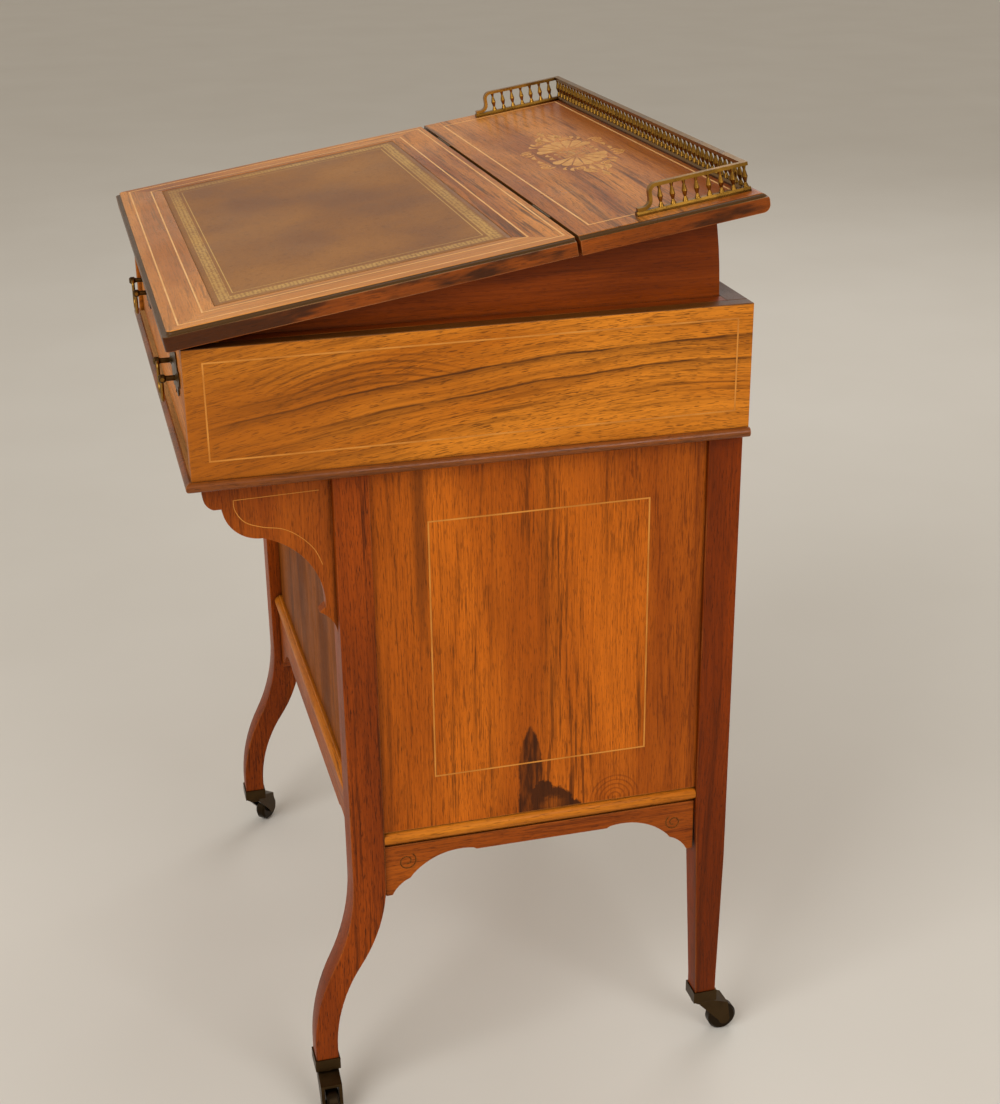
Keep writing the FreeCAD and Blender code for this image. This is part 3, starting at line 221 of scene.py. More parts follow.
for name, (spot, size, power) in LAMPS.items():
    lamp = bpy.data.lights.new(name, "AREA")
    lamp.shape = "SQUARE"
    lamp.size = size
    lamp.energy = power
    hung = placed(name, lamp)
    hung.location = spot
    hung.rotation_euler = (AIM - Vector(spot)).to_track_quat("-Z", "Y").to_euler()

world = bpy.data.worlds.new("soft_room")
bpy.context.scene.world = world
world.use_nodes = True
sky = world.node_tree.nodes["Background"].inputs
sky["Color"].default_value = tint("F4EADC")
sky["Strength"].default_value = SKY_STRENGTH
bpy.context.scene.view_settings.view_transform = "Standard"
print("Lamps:", ", ".join(LAMPS))

# %% [markdown]
# ## Rosewood
# Rosewood is orange to red brown. Long dark threads run in groups along its
# grain, with broader smoky streaks between them and short dark dashes where
# its pores are cut. The recipe turns the board so that its grain runs along
# one axis, and stretches noise along that axis: broad for the clouds, finer
# for the threads, finest for the pores. Old polish has been rubbed through on
# the edges, so the tone is a little paler there. The corners are painted dark
# as painted shade, found by how much of the sky each point sees. On pieces
# that move, only their own faces count, because the neighbours leave.

# %% Define the rosewood recipe
TURNS = {"X": (0, 0, 0), "Y": (0, 0, -90), "Z": (0, 90, 0)}
GOLDEN = (tint("D88222"), tint("B86410"), tint("4C2606"))
AMBER = (tint("CE6A12"), tint("A85008"), tint("4A2204"))
RUSSET = (tint("8A3602"), tint("682601"), tint("2C1001"))
EDGE_ROUND, GRAIN_DEPTH = 0.0011, 0.00006


def along_grain(finish, place, grain):
    """The place, turned so that the grain runs along the first axis."""
    return finish.moved(place, degrees=TURNS[grain])


def wood_tone(finish, grained, shades, seed=0, threads=0.6, streaks=0.4, pores=0.5):
    """The colour of a board, and the height of its grain, from a place along the grain."""
    light, middle, dark = shades
    shifted = finish.moved(grained, shift=(seed * 1.7, seed * 0.9, seed * 2.3))
    drift = finish.noise(finish.moved(shifted, (3, 7, 7)), 1, 1, colour=True)
    sway = finish.vector("SUBTRACT", drift, (0.5, 0.5, 0.5))
    wavy = finish.vector("ADD", shifted, finish.vector("MULTIPLY", sway, (0, 0.02, 0.02)))

    def drawn(along, across, detail=2, rough=0.5):
        """Noise with so many waves to the metre along the grain and across it."""
        return finish.noise(finish.moved(wavy, (along, across, across)), 1, detail, rough)

    cloud = finish.step(drawn(3, 18, 3), 0.34, 0.66)
    group = finish.step(drawn(2.2, 34, 2), 0.40, 0.62, 0.12, 1)
    thread = finish.math("MULTIPLY", finish.step(drawn(9, 330, 3, 0.6), 0.54, 0.63), group)
    clump = finish.step(drawn(4, 24, 2), 0.38, 0.6, 0.25, 1)
    hatch = finish.math("MULTIPLY", finish.step(drawn(26, 560, 3, 0.65), 0.55, 0.62), clump)
    streak = finish.step(drawn(1.5, 75, 3, 0.65), 0.56, 0.72)
    pore = finish.step(drawn(120, 1600, 1), 0.59, 0.67)
    fibre = drawn(14, 800, 2)
    tone = finish.mix(cloud, middle, light)
    tone = finish.mix(finish.step(fibre, 0.3, 0.75, 0, 0.28), tone, dark)
    marks = ((streaks, streak), (threads, thread), (threads * 0.7, hatch), (pores, pore))
    for share, mask in marks:
        tone = finish.mix(finish.math("MULTIPLY", mask, share), tone, dark)
    return tone, finish.math("SUBTRACT", fibre, finish.math("MAXIMUM", pore, thread))


def polished(finish, tone, height, rough=0.38, coat=0.03, level=0.1, worn="C87E36", moves=False):
    """A shellac polish over a toned board, thin on the edges, with painted shade in its corners."""
    smear = finish.noise(finish.place, 14, 3)
    rounded = finish.node("Bevel", {"Radius": EDGE_ROUND}, samples=4).outputs[0]
    straight = finish.node("NewGeometry").outputs["Normal"]
    normals = {0: rounded, 1: straight}
    bend = finish.node("VectorMath", normals, operation="DOT_PRODUCT").outputs["Value"]
    patchy = finish.step(smear, 0.4, 0.65, 0.05, 0.5)
    rubbed = finish.math("MULTIPLY", finish.step(bend, 0.985, 0.90), patchy)
    # Painted shade: faces that see little of the sky within reach are darkened nearly to black.
    corner_shaded = finish.mix(finish.step(finish.sky(moves), 0.8, 0.35, 0, 0.75), tone, tint("1E0D04"))
    return finish.shade({
        "Base Color": finish.mix(rubbed, corner_shaded, tint(worn)),
        "Roughness": finish.step(smear, 0.2, 0.8, rough - 0.05, rough + 0.12),
        "Specular IOR Level": level,
        "Coat Weight": coat,
        "Coat Roughness": 0.12,
        "Normal": finish.bump(height, GRAIN_DEPTH),
    })


def rosewood(name, grain, shades, polish=None, **figure):
    finish = Finish(name)
    tone, height = wood_tone(finish, along_grain(finish, finish.place, grain), shades, **figure)
    return polished(finish, tone, height, **(polish or {}))


def jointed_wood(name, joint, boards, **polish):
    """Two boards of different grain in one node; joint gives one where the second board is."""
    finish = Finish(name)
    (tone, height), (other_tone, other_height) = [
        wood_tone(finish, along_grain(finish, finish.place, grain), shades, **figure)
        for grain, shades, figure in boards]
    share = joint(finish, finish.split(finish.place))
    rise = finish.math("MULTIPLY_ADD", share, finish.math("SUBTRACT", other_height, height), height)
    return polished(finish, finish.mix(share, tone, other_tone), rise, **polish)


def dress(finish, *names):
    for name in names:
        slots = solids[name].data.materials
        slots.clear()
        slots.append(finish)


print("Grain may run along", ", ".join(TURNS))

# %% [markdown]
# ## Soft edges
# A cabinet maker takes the sharpness off every edge with sandpaper, and a
# hundred years of dusting do the rest. The solids have knife edges, so those
# that show them get modifiers: the import's split corners are welded, the flat
# triangles are merged back into whole faces, and the edges left are rounded.

# %% Define the edge rounding
WELD_REACH, FLAT_ANGLE, EDGE_ANGLE = 0.00002, 0.5, 50
WOOD_ROUND, BRASS_ROUND = 0.0008, 0.0005


def soften(width, *names):
    for name in names:
        solid = solids[name]
        solid.modifiers.new("weld", "WELD").merge_threshold = WELD_REACH
        flat = solid.modifiers.new("merge_flats", "DECIMATE")
        flat.decimate_type = "DISSOLVE"
        flat.angle_limit = math.radians(FLAT_ANGLE)
        edge = solid.modifiers.new("round_edges", "BEVEL")
        edge.width = width
        edge.segments = 2
        edge.limit_method = "ANGLE"
        edge.angle_limit = math.radians(EDGE_ANGLE)
        edge.harden_normals = False


print("Edges can be rounded")

# %% [markdown]
# ## The box sides
# The sides of the box are the showiest boards: golden, with two long dark veins
# that climb from the front and level out towards the back, and finer ones that
# branch from them. The veins are not left to chance. The grain is bent along
# one curve, the height of a point above that curve takes the place of its
# height, and each vein is a thin dark line at its own height, smoky below.

# %% Draw the veins of the box sides
VEIN_HEIGHT, VEIN_CLIMB, VEIN_BEND = 0.684, 0.0967, -0.242
VEINS = [  # height above the curve, half width, darkness, and where it starts and ends
    (0.000, 0.0014, 1.00, -0.225, 0.250),
    (-0.019, 0.0015, 0.90, -0.150, 0.250),
    (0.0125, 0.0010, 0.60, -0.215, -0.070),
    (0.0085, 0.0008, 0.50, -0.190, -0.040),
    (-0.027, 0.0009, 0.55, -0.215, -0.050),
    (-0.011, 0.0007, 0.35, -0.100, 0.120),
    (-0.034, 0.0008, 0.40, -0.020, 0.180),
    (-0.044, 0.0010, 0.45, -0.160, 0.060),
    (0.021, 0.0007, 0.30, -0.160, 0.020),
    (-0.008, 0.0009, 0.60, 0.060, 0.250),
]
VEIN_DARK = tint("42210A")
WOBBLE, VEIN_FADE, SMOKE = 0.009, 0.04, (-0.009, 0.0015)
FRONT_BROWN = tint("8C4E16")
ARCH, ARCH_TURNS = ((-0.075, 0.610), (0.120, 0.080)), 95
ARCH_SPOT = ((-0.095, 0.688), (0.075, 0.016))
RIM_DARK, RIM_TOP = tint("301A08"), (0.7171, 0.7176)


def away_from(finish, place, centre, reach=(1, 1)):
    """How far a place on the side lies from a centre, in shares of the reach."""
    away = finish.vector("SUBTRACT", place, (0, *centre))
    scaled = finish.vector("MULTIPLY", away, (0, 1 / reach[0], 1 / reach[1]))
    return finish.length(scaled)


def blot(finish, place, centre, reach, soft):
    """An oval stain: one within, zero outside."""
    return finish.step(away_from(finish, place, centre, reach), 1 + soft, 1 - soft)


def rim_shaded(finish, tone):
    """The top face of the rim is made dark brown."""
    _, _, z = finish.split(finish.place)
    return finish.mix(finish.step(z, *RIM_TOP, 0, 0.85), tone, RIM_DARK)


def veined_side():
    finish = Finish("veined_box_wood")
    x, y, z = finish.split(finish.place)
    slope = finish.math("MULTIPLY_ADD", y, VEIN_BEND, VEIN_CLIMB)
    curve = finish.math("MULTIPLY_ADD", slope, y, VEIN_HEIGHT)
    ripple = finish.noise(finish.moved(finish.place, (1, 9, 40)), 1, 3)
    wobble = finish.math("MULTIPLY_ADD", ripple, WOBBLE, -WOBBLE / 2)
    above = finish.math("ADD", finish.math("SUBTRACT", z, curve), wobble)
    grained = finish.node("CombineXYZ", {0: y, 1: x, 2: above}).outputs[0]
    tone, height = wood_tone(finish, grained, GOLDEN, seed=1, threads=0.5, streaks=0.35, pores=0.7)
    broken = finish.noise(finish.moved(grained, (26, 300, 300)), 1, 2)
    for at, half, dark, first, last in VEINS:
        away = finish.math("SUBTRACT", above, at)
        line = finish.step(finish.math("ABSOLUTE", away), half, half * 0.25)
        smoke = finish.math("MULTIPLY", *[finish.step(away, bound, 0) for bound in SMOKE])
        dashed = finish.math("MULTIPLY", line, finish.step(broken, 0.3, 0.5, 0.45, 0.9))
        drawn = finish.math("MAXIMUM", dashed, finish.math("MULTIPLY", smoke, 0.5))
        seen = finish.math("MULTIPLY", drawn, finish.within(y, first, last, VEIN_FADE))
        share = finish.math("MULTIPLY", seen, dark)
        tone = finish.mix(share, tone, VEIN_DARK)
    tone = finish.mix(finish.step(y, 0.02, -0.23, 0, 0.45), tone, FRONT_BROWN)
    nest = finish.math("MULTIPLY", away_from(finish, finish.place, *ARCH), ARCH_TURNS)
    arch = finish.math("MULTIPLY", finish.step(finish.math("SINE", nest), 0.2, 0.95),
                       blot(finish, finish.place, *ARCH_SPOT, 0.45))
    tone = finish.mix(finish.math("MULTIPLY", arch, 0.45), tone, VEIN_DARK)
    return polished(finish, rim_shaded(finish, tone), height)


def cross_board(name, seed):
    finish = Finish(name)
    grained = along_grain(finish, finish.place, "X")
    tone, height = wood_tone(finish, grained, GOLDEN, seed=seed, threads=0.4)
    return polished(finish, rim_shaded(finish, tone), height)


dress(veined_side(), "box_sides")
dress(cross_board("box_back_wood", 21), "box_back")
print("Veins on each side:", len(VEINS))

# %% [markdown]
# ## The knotted panel
# The right panel is amber and threaded, darker round its inlaid line. At its
# foot is a knot: a dark flame, a ragged lobe beside it with a paler heart, and
# the faint rings of another branch further back. Ovals give the rough shapes,
# and their edges are torn by noise before they are stained dark.

# %% Grow the knot of the right panel
PANEL_FIELD = ((-0.0405, 0.1465), (0.323, 0.556))
KNOT_DARK = tint("341807")
FLAME = [((0.0335, 0.3145), (0.0205, 0.0500)), ((0.0535, 0.3145), (0.0205, 0.0500))]
ROOT = ((0.0400, 0.2800), (0.0078, 0.0360))
LOBES = [((0.0540, 0.2860), (0.0110, 0.0180)), ((0.0640, 0.2760), (0.0190, 0.0190)),
         ((0.0760, 0.2700), (0.0140, 0.0130))]
HEART = ((0.0625, 0.2795), (0.0085, 0.0060))
RINGS_AT, RINGS_REACH, RING_TURNS = (0.120, 0.276), (0.024, 0.024), 1500
SHADOW_STREAK = ((-0.0475, 0.5500), (0.0055, 0.0900))
LINE_SOFT = 0.001


def knot_mask(finish):
    rough = finish.noise(finish.place, 170, 4, 0.7, colour=True)
    tear = finish.vector("SUBTRACT", rough, (0.5, 0.5, 0.5))
    torn = finish.vector("ADD", finish.place, finish.vector("MULTIPLY", tear, (0, 0.009, 0.014)))
    gently = finish.vector("ADD", finish.place, finish.vector("MULTIPLY", tear, (0, 0.003, 0.008)))
    flame = finish.math("MINIMUM", *[blot(finish, gently, *oval, 0.04) for oval in FLAME])
    root = blot(finish, gently, *ROOT, 0.15)
    first, second, third = [blot(finish, torn, *oval, 0.08) for oval in LOBES]
    foot = finish.math("MAXIMUM", finish.math("MAXIMUM", first, second), third)
    heart = blot(finish, torn, *HEART, 0.6)
    ember = finish.noise(finish.moved(finish.place, (1, 260, 45)), 1, 3)
    lit = finish.step(ember, 0.35, 0.7, 0.95, 0.55)
    lobed = finish.math("MULTIPLY", foot, finish.math("MULTIPLY_ADD", heart, -0.4, 0.92))
    burnt = finish.math("MULTIPLY", finish.math("MAXIMUM", flame, root), lit)
    return finish.math("MAXIMUM", burnt, lobed)


def knotted_panel():
    finish = Finish("knotted_panel_wood")
    grained = along_grain(finish, finish.place, "Z")
    tone, height = wood_tone(finish, grained, AMBER, seed=5, threads=0.75, streaks=0.5)
    _, y, z = finish.split(finish.place)
    (front, rear), (foot, head) = PANEL_FIELD
    field = finish.math("MINIMUM", finish.within(y, front, rear, LINE_SOFT),
                        finish.within(z, foot, head, LINE_SOFT))
    rearward = finish.step(y, 0.05, 0.2, 0.05, 0.5)
    outside = finish.math("SUBTRACT", 1, field)
    tone = finish.mix(finish.math("MULTIPLY", outside, rearward), tone, tint("6A2503"))
    # Painted shadow: a narrow dark streak down the front edge of the panel, near its top.
    shadow = blot(finish, finish.place, *SHADOW_STREAK, 0.6)
    tone = finish.mix(finish.math("MULTIPLY", shadow, 0.6), tone, tint("4A2106"))
    turned = finish.math("MULTIPLY", away_from(finish, finish.place, RINGS_AT), RING_TURNS)
    ring = finish.step(finish.math("SINE", turned), 0.1, 0.9)
    ringed = finish.math("MULTIPLY", ring, blot(finish, finish.place, RINGS_AT, RINGS_REACH, 0.15))
    tone = finish.mix(finish.math("MULTIPLY", ringed, 0.4), tone, tint("5A2405"))
    return polished(finish, finish.mix(knot_mask(finish), tone, KNOT_DARK), height)


dress(knotted_panel(), "side_panel")
print("The knot is at the foot of the right panel")

# %% [markdown]
# ## Legs, rails and drawers
# Each board is cut from a plank of its own, so each gets its own grain
# direction, seed and shade. The legs and the rising frame are the darkest.
# Where one node holds boards that run both ways, as the rails do, the grain is
# chosen by the place. A side drawer is rosewood on its face and plain within.

# %% Dress the pedestal and box
LEG = (tint("A04608"), tint("803405"), tint("361403"))
BRACKET = (tint("AA5410"), tint("8E400A"), tint("401804"))
PALE = (tint("B98A52"), tint("A2723C"), tint("6A4520"))
KNEE_PANEL = (tint("9A5210"), tint("743A08"), tint("381A06"))
RISER = (tint("9E4608"), tint("702D03"), tint("301202"))
MOULDING = (tint("8E4C1A"), tint("6C3810"), tint("301607"))
SATIN = {"rough": 0.55, "coat": 0, "level": 0.15, "moves": True}
DULL = {"rough": 0.5, "coat": 0, "level": 0.05}
RUBBED = {"rough": 0.24, "coat": 0.16, "level": 0.15, "worn": "C88A50"}
LEG_FACE, DRAWER_BACK = (0.2228, 0.2236), (-0.2352, -0.2346)
ROWS = range(1, 5)


def beside_legs(finish, axes):
    return finish.step(finish.math("ABSOLUTE", axes[0]), *LEG_FACE)


def behind_face(finish, axes):
    return finish.step(axes[0], *DRAWER_BACK)


rails = jointed_wood("rail_wood", beside_legs,
                     [("X", GOLDEN, {"seed": 15}), ("Y", GOLDEN, {"seed": 14})])
aprons = jointed_wood("apron_wood", beside_legs,
                      [("X", BRACKET, {"seed": 16}), ("Y", BRACKET, {"seed": 18})])
drawers = jointed_wood("drawer_wood", behind_face,
                       [("Y", AMBER, {"seed": 23}), ("X", PALE, {"seed": 25})], moves=True)
dress(rails, "bottom_rails")
dress(aprons, "aprons")
dress(drawers, "dust_boards", *[f"side_drawer_{row}" for row in ROWS])
dress(rosewood("front_leg_wood", "Z", LEG, seed=3, threads=0.7, pores=0.7),
      "front_leg_right", "front_leg_left")
dress(rosewood("rear_leg_wood", "Z", RUSSET, seed=8, threads=0.3),
      "rear_leg_right", "rear_leg_left")
dress(rosewood("panel_wood", "Z", KNEE_PANEL, DULL, seed=6), "front_panel", "back_panel")
dress(rosewood("bracket_wood", "Z", BRACKET, seed=12, threads=0.4), "scroll_brackets")
dress(rosewood("drawer_front_wood", "X", GOLDEN, {"moves": True}, seed=22, threads=0.4),
      "box_front_rail", "front_drawer_face")
dress(rosewood("riser_wood", "Y", RISER, seed=17, threads=0.3, pores=0.3),
      "riser_sides", "riser_back", "riser_front_rail", "slope_guides")
dress(rosewood("moulding_wood", "Y", MOULDING, RUBBED, seed=19), "box_moulding")
dress(rosewood("lining_wood", "X", PALE, SATIN, seed=33, threads=0.2, streaks=0.2),
      "box_bottom", "drawer_guides", "well_floor", "front_drawer_tray")
soften(WOOD_ROUND, "box_sides", "box_back", "box_front_rail", "front_drawer_face",
       "front_leg_right", "front_leg_left", "rear_leg_right", "rear_leg_left",
       "scroll_brackets", "aprons", "bottom_rails", "riser_sides", "riser_back",
       "writing_lid", "shelf", *[f"side_drawer_{row}" for row in ROWS])
print("Dressed the wooden pieces")

# %% [markdown]
# ## Brass
# The gallery and the swinging bails are old brass: golden where hands and
# dusters rub it, brown in the hollows. The plates behind the bails have kept
# more of their dark lacquer, and the casters are nearly black. One recipe
# makes them all; it finds the hollows by how much of the sky each point sees.
# The back row of the gallery is painted darker, as painted shade.

# %% Cast the brass
SHADED_BACK_ROW = (0.202, 0.212)


def brass(name, bright, dull, rough, moves=True, shaded_band=None):
    finish = Finish(name)
    cloud = finish.noise(finish.place, 60, 4, 0.6)
    patchy = finish.step(cloud, 0.2, 0.6, 0.55, 1)
    rubbed = finish.math("MULTIPLY", finish.step(finish.sky(moves), 0.4, 0.95), patchy)
    # Painted shade: behind a line in y, at the back row of the gallery, the rubbed brass is dimmed.
    if shaded_band:
        _, y, _ = finish.split(finish.place)
        rubbed = finish.math("MULTIPLY", rubbed, finish.step(y, *shaded_band, 1, 0.6))
    return finish.shade({
        "Base Color": finish.mix(rubbed, dull, bright),
        "Metallic": 1,
        "Roughness": finish.step(cloud, 0.3, 0.7, rough, rough + 0.15),
        "Normal": finish.bump(finish.noise(finish.place, 900, 2), 0.00005),
    })


ends = [f"{end}_{side}" for end in ("front", "rear") for side in ("right", "left")]
dress(brass("gallery_brass", tint("A87A30"), tint("241507"), 0.24, moves=False,
            shaded_band=SHADED_BACK_ROW),
      "gallery_base_rail", "gallery_spindles", "gallery_top_rail")
dress(brass("bail_brass", tint("9A7232"), tint("3A2812"), 0.26),
      "front_bail_right", "front_bail_left", *[f"side_drawer_{row}_bail" for row in ROWS])
dress(brass("mount_bronze", tint("5A4222"), tint("241809"), 0.32), "front_drawer_mounts",
      *[f"side_drawer_{row}_mount" for row in ROWS])
dress(brass("hinge_brass", tint("5E4620"), tint("241809"), 0.32), "slope_hinge_butts",
      "slope_hinge_straps", "lid_hinge_butts", "lid_hinge_flaps", "stay_bolt", "stay_nut")
dress(brass("caster_bronze", tint("46351F"), tint("1A120A"), 0.32), "caster_cups",
      *[f"caster_fork_{end}" for end in ends])
dress(brass("wheel_bronze", tint("2E2418"), tint("120C07"), 0.3),
      *[f"caster_wheel_{end}" for end in ends])
soften(BRASS_ROUND, "caster_cups", *[f"caster_fork_{end}" for end in ends])
print("Cast the brass pieces")

# %% [markdown]
# ## Places on the raised top
# The top is modelled lying down and then tipped up about the hinge at its
# front edge. The inlays are drawn lying down too, on the flat, and one matrix
# lifts them onto the raised wood. Inlays on an upright face use a matrix that
# stands their drawing up against that face.

# %% Define the drawing boards
HINGE = Vector((0, -0.2273, 0.7173))
TIPPED = 8.9
TOP_HEIGHT = 0.734

raised = Matrix.Translation(HINGE) @ turn(TIPPED, "X") @ Matrix.Translation(-HINGE)
on_top = raised @ Matrix.Translation((0, 0, TOP_HEIGHT))


def on_face(normal, distance):
    """The board of an upright face: right, up, and out along the normal."""
    out = Vector(normal)
    across = Vector((0, 0, 1)).cross(out)
    board = Matrix((across, (0, 0, 1), out)).transposed().to_4x4()
    return Matrix.Translation(out * distance) @ board


print("The top is tipped by", TIPPED, "degrees")

# %% [markdown]
# ## The lid and the shelf
# The top is veneered in a redder, glossier rosewood. On the lid the border is
# laid in four mitred strips, so its grain runs along X at the front and back and
# along Y at the sides. The coved step round the top is dark, and the thick edge
# below it shows the end of the board in orange brown with black patches. The
# recipe lays the raised place down flat again, to know which part it colours.

# %% Veneer the top
TOP = (tint("D88A3C"), tint("9C5218"), tint("3A1E0A"))
EDGE = (tint("9A4A0C"), tint("743406"), tint("2A1404"))
REFLECTION_PALE = tint("E29A4E")
GALLERY_SHADE_RED = tint("8A3C08")
UNDERSIDE, EDGE_TOP, STEP_TOP = (0.7197, 0.7203), (0.7309, 0.7305), (0.7336, 0.7332)
MITRE_SOFT = 0.0003
STEP_DARK = tint("50361A")
LID_MITRE = ((0, -0.0744), (0.2278, 0.1169))
TOP_POLISH = {"rough": 0.3, "coat": 0.14, "level": 0.12, "worn": "D09A62", "moves": True}


def laid_flat(finish):
    """The place of a point of the raised top, with the top lowered again."""
    lowered = turn(-TIPPED, "X")
    return finish.moved(finish.place, shift=tuple(HINGE - lowered @ HINGE), degrees=(-TIPPED, 0, 0))


def veneered_top(name, seed, mitred):
    finish = Finish(name)
    flat = laid_flat(finish)
    x, y, z = finish.split(flat)
    grained = along_grain(finish, flat, "X")
    tone, height = wood_tone(finish, grained, TOP, seed=seed, threads=0.7, streaks=0.9)
    if mitred:
        centre, half = LID_MITRE
        outward = []
        for axis, middle, reach in zip((x, y), centre, half):
            away = finish.math("ABSOLUTE", finish.math("SUBTRACT", axis, middle))
            outward.append(finish.math("SUBTRACT", away, reach))
        side = finish.step(finish.math("SUBTRACT", *outward), -MITRE_SOFT, MITRE_SOFT)
        strip, _ = wood_tone(finish, along_grain(finish, flat, "Y"), TOP, seed=seed + 3,
                             threads=0.6, streaks=0.6)
        # Painted reflection: the side strips grow paler towards the right, and the lid grows paler
        # towards the front.
        reflecting_strip = finish.mix(finish.step(x, 0, half[0], 0, 0.4), strip, REFLECTION_PALE)
        tone = finish.mix(finish.step(y, 0.05, -0.2, 0, 0.25), tone, REFLECTION_PALE)
        tone = finish.mix(side, tone, reflecting_strip)
    else:
        # Painted shade and reflection: the rear of the shelf, under the gallery, is painted deeper
        # red for the gallery's shadow and its dark reflection.
        tone = finish.mix(finish.step(y, 0.15, 0.215, 0, 0.55), tone, GALLERY_SHADE_RED)
    sawn, _ = wood_tone(finish, along_grain(finish, flat, "Y"), EDGE, seed=seed + 5, threads=0.3)
    frontward = finish.step(y, 0.22, -0.2, -0.1, 0.13)
    stain = finish.math("ADD", finish.noise(finish.moved(flat, (14, 14, 60)), 1, 3), frontward)
    on_edge = finish.step(z, *UNDERSIDE)
    patch = finish.math("MULTIPLY", finish.step(stain, 0.48, 0.6, 0, 0.85), on_edge)
    tone = finish.mix(finish.step(z, *STEP_TOP), tone, STEP_DARK)
    tone = finish.mix(finish.step(z, *EDGE_TOP), tone, finish.mix(patch, sawn, EDGE[2]))
    return polished(finish, tone, height, **TOP_POLISH)


dress(veneered_top("lid_veneer", 27, True), "writing_lid")
dress(veneered_top("shelf_veneer", 41, False), "shelf")
print("Veneered the lid and the shelf")

# %% [markdown]
# ## Inlaid lines
# The pale lines are stringing: strips of boxwood let into the rosewood and
# mitred at the corners. They could be painted in the material, but as thin
# plates they stay crisp at any distance. Each stands a tenth of a millimetre
# proud, as old inlay does when the ground shrinks.

# %% Define plates of inlay
PROUD, SUNK = 0.0001, 0.0003
STRING_WIDE = 0.0013


def wall(shape, upper, lower):
    """Faces all round between two rings of corners."""
    for here in range(len(upper)):
        after = (here + 1) % len(upper)
        shape.faces.new((upper[here], lower[here], lower[after], upper[after]))


def plates(name, drawings, finish):
    """One mesh of thin plates; a drawing is a board and a flat outline on it."""
    shape = bmesh.new()
    for board, outline in drawings:
        upper = [shape.verts.new(board @ Vector((x, y, PROUD))) for x, y in outline]
        lower = [shape.verts.new(board @ Vector((x, y, -SUNK))) for x, y in outline]
        shape.faces.new(upper)
        shape.faces.new(lower[::-1])
        wall(shape, upper, lower)
    bmesh.ops.recalc_face_normals(shape, faces=shape.faces)
    piece = placed(name, meshed(name, shape))
    piece.data.materials.append(finish)
    return piece


def string_box(board, left, right, bottom, top):
    """Four mitred strips around a rectangle."""
    half = STRING_WIDE / 2
    outer = [(left - half, bottom - half), (right + half, bottom - half),
             (right + half, top + half), (left - half, top + half)]
    inner = [(left + half, bottom + half), (right - half, bottom + half),
             (right - half, top - half), (left + half, top - half)]
    return [(board, (outer[side], outer[(side + 1) % 4], inner[(side + 1) % 4], inner[side]))
            for side in range(4)]


def boxwood(name, deep, light):
    finish = Finish(name)
    cloud = finish.noise(finish.place, 35, 3)
    tone = finish.mix(finish.step(cloud, 0.3, 0.7), tint(deep), tint(light))
    return finish.shade({
        "Base Color": tone,
        "Roughness": 0.4,
        "Specular IOR Level": 0.1,
        "Coat Weight": 0.03,
        "Coat Roughness": 0.12,
        "Normal": finish.bump(finish.noise(finish.place, 500, 2), 0.00003),
    })


string_wood = boxwood("boxwood_string", "B8722A", "CE883A")
top_string_wood = boxwood("top_boxwood_string", "E0A866", "EEBA7C")
print("Strings stand proud by", PROUD * 1000, "mm")

# %% Lay the strings
BOX_SIDE, PANEL_SIDE, BRACKET_SIDE = 0.264, 0.249, 0.243
DRAWER_FRONT, BOX_REAR, PEDESTAL_REAR = 0.221, 0.225, 0.221
BOX_LINES = (0.630, 0.7065)
MARGIN = 0.012

right_box, left_box = on_face((1, 0, 0), BOX_SIDE), on_face((-1, 0, 0), BOX_SIDE)
right_panel, left_panel = on_face((1, 0, 0), PANEL_SIDE), on_face((-1, 0, 0), PANEL_SIDE)
front_box, back_box = on_face((0, -1, 0), DRAWER_FRONT), on_face((0, 1, 0), BOX_REAR)
back_pedestal = on_face((0, 1, 0), PEDESTAL_REAR)
carcase_lines = string_box(right_box, -0.210, 0.212, *BOX_LINES)
carcase_lines += string_box(left_box, -0.212, 0.210, *BOX_LINES)
carcase_lines += string_box(right_panel, *PANEL_FIELD[0], *PANEL_FIELD[1])
carcase_lines += string_box(back_box, -0.236, 0.236, *BOX_LINES)
carcase_lines += string_box(back_pedestal, -0.170, 0.170, 0.335, 0.562)
slope_lines = string_box(on_top, -0.243, 0.243, 0.1002, 0.2197)
lid_lines = string_box(on_top, -0.256, 0.256, -0.2218, 0.0762)
lid_lines += string_box(on_top, -0.237, 0.237, -0.2018, 0.0527)
drawer_lines = string_box(front_box, -0.236, 0.236, 0.629, 0.691)
strings = {"carcase": carcase_lines, "slope": slope_lines, "lid": lid_lines,
           "front_drawer": drawer_lines}
for row in ROWS:
    low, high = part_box(f"side_drawer_{row}")
    upright = (low.z + MARGIN, high.z - MARGIN)
    strings[f"side_drawer_{row}"] = string_box(left_panel, -0.182, 0.074, *upright)
for body, drawings in strings.items():
    on_the_top = body in ("slope", "lid")
    piece = plates(f"{body}_strings", drawings, top_string_wood if on_the_top else string_wood)
    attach(piece, body)
print("Strings:", {body: len(drawings) for body, drawings in strings.items()})

# %% [markdown]
# ## Curved lines
# A pale line follows the scroll of each bracket, and small open scrolls are cut
# into the apron below the right panel. They are drawn as smooth curves through
# a few points, given a width, and laid in like the strings; the scrolls get a
# dark wood.

# %% Define curved strips
BRACKET_TOP = [(-0.126, 0.5905), (-0.193, 0.5890)]
BRACKET_CURVE = [(-0.193, 0.5890), (-0.192, 0.580), (-0.185, 0.570), (-0.172, 0.5645),
                 (-0.156, 0.561), (-0.143, 0.553), (-0.132, 0.541), (-0.126, 0.527)]
SCROLL_TURNS, SCROLL_STEPS = 1.45, 40
SCROLL_START, SCROLL_SHRINK = 2.2, 0.08


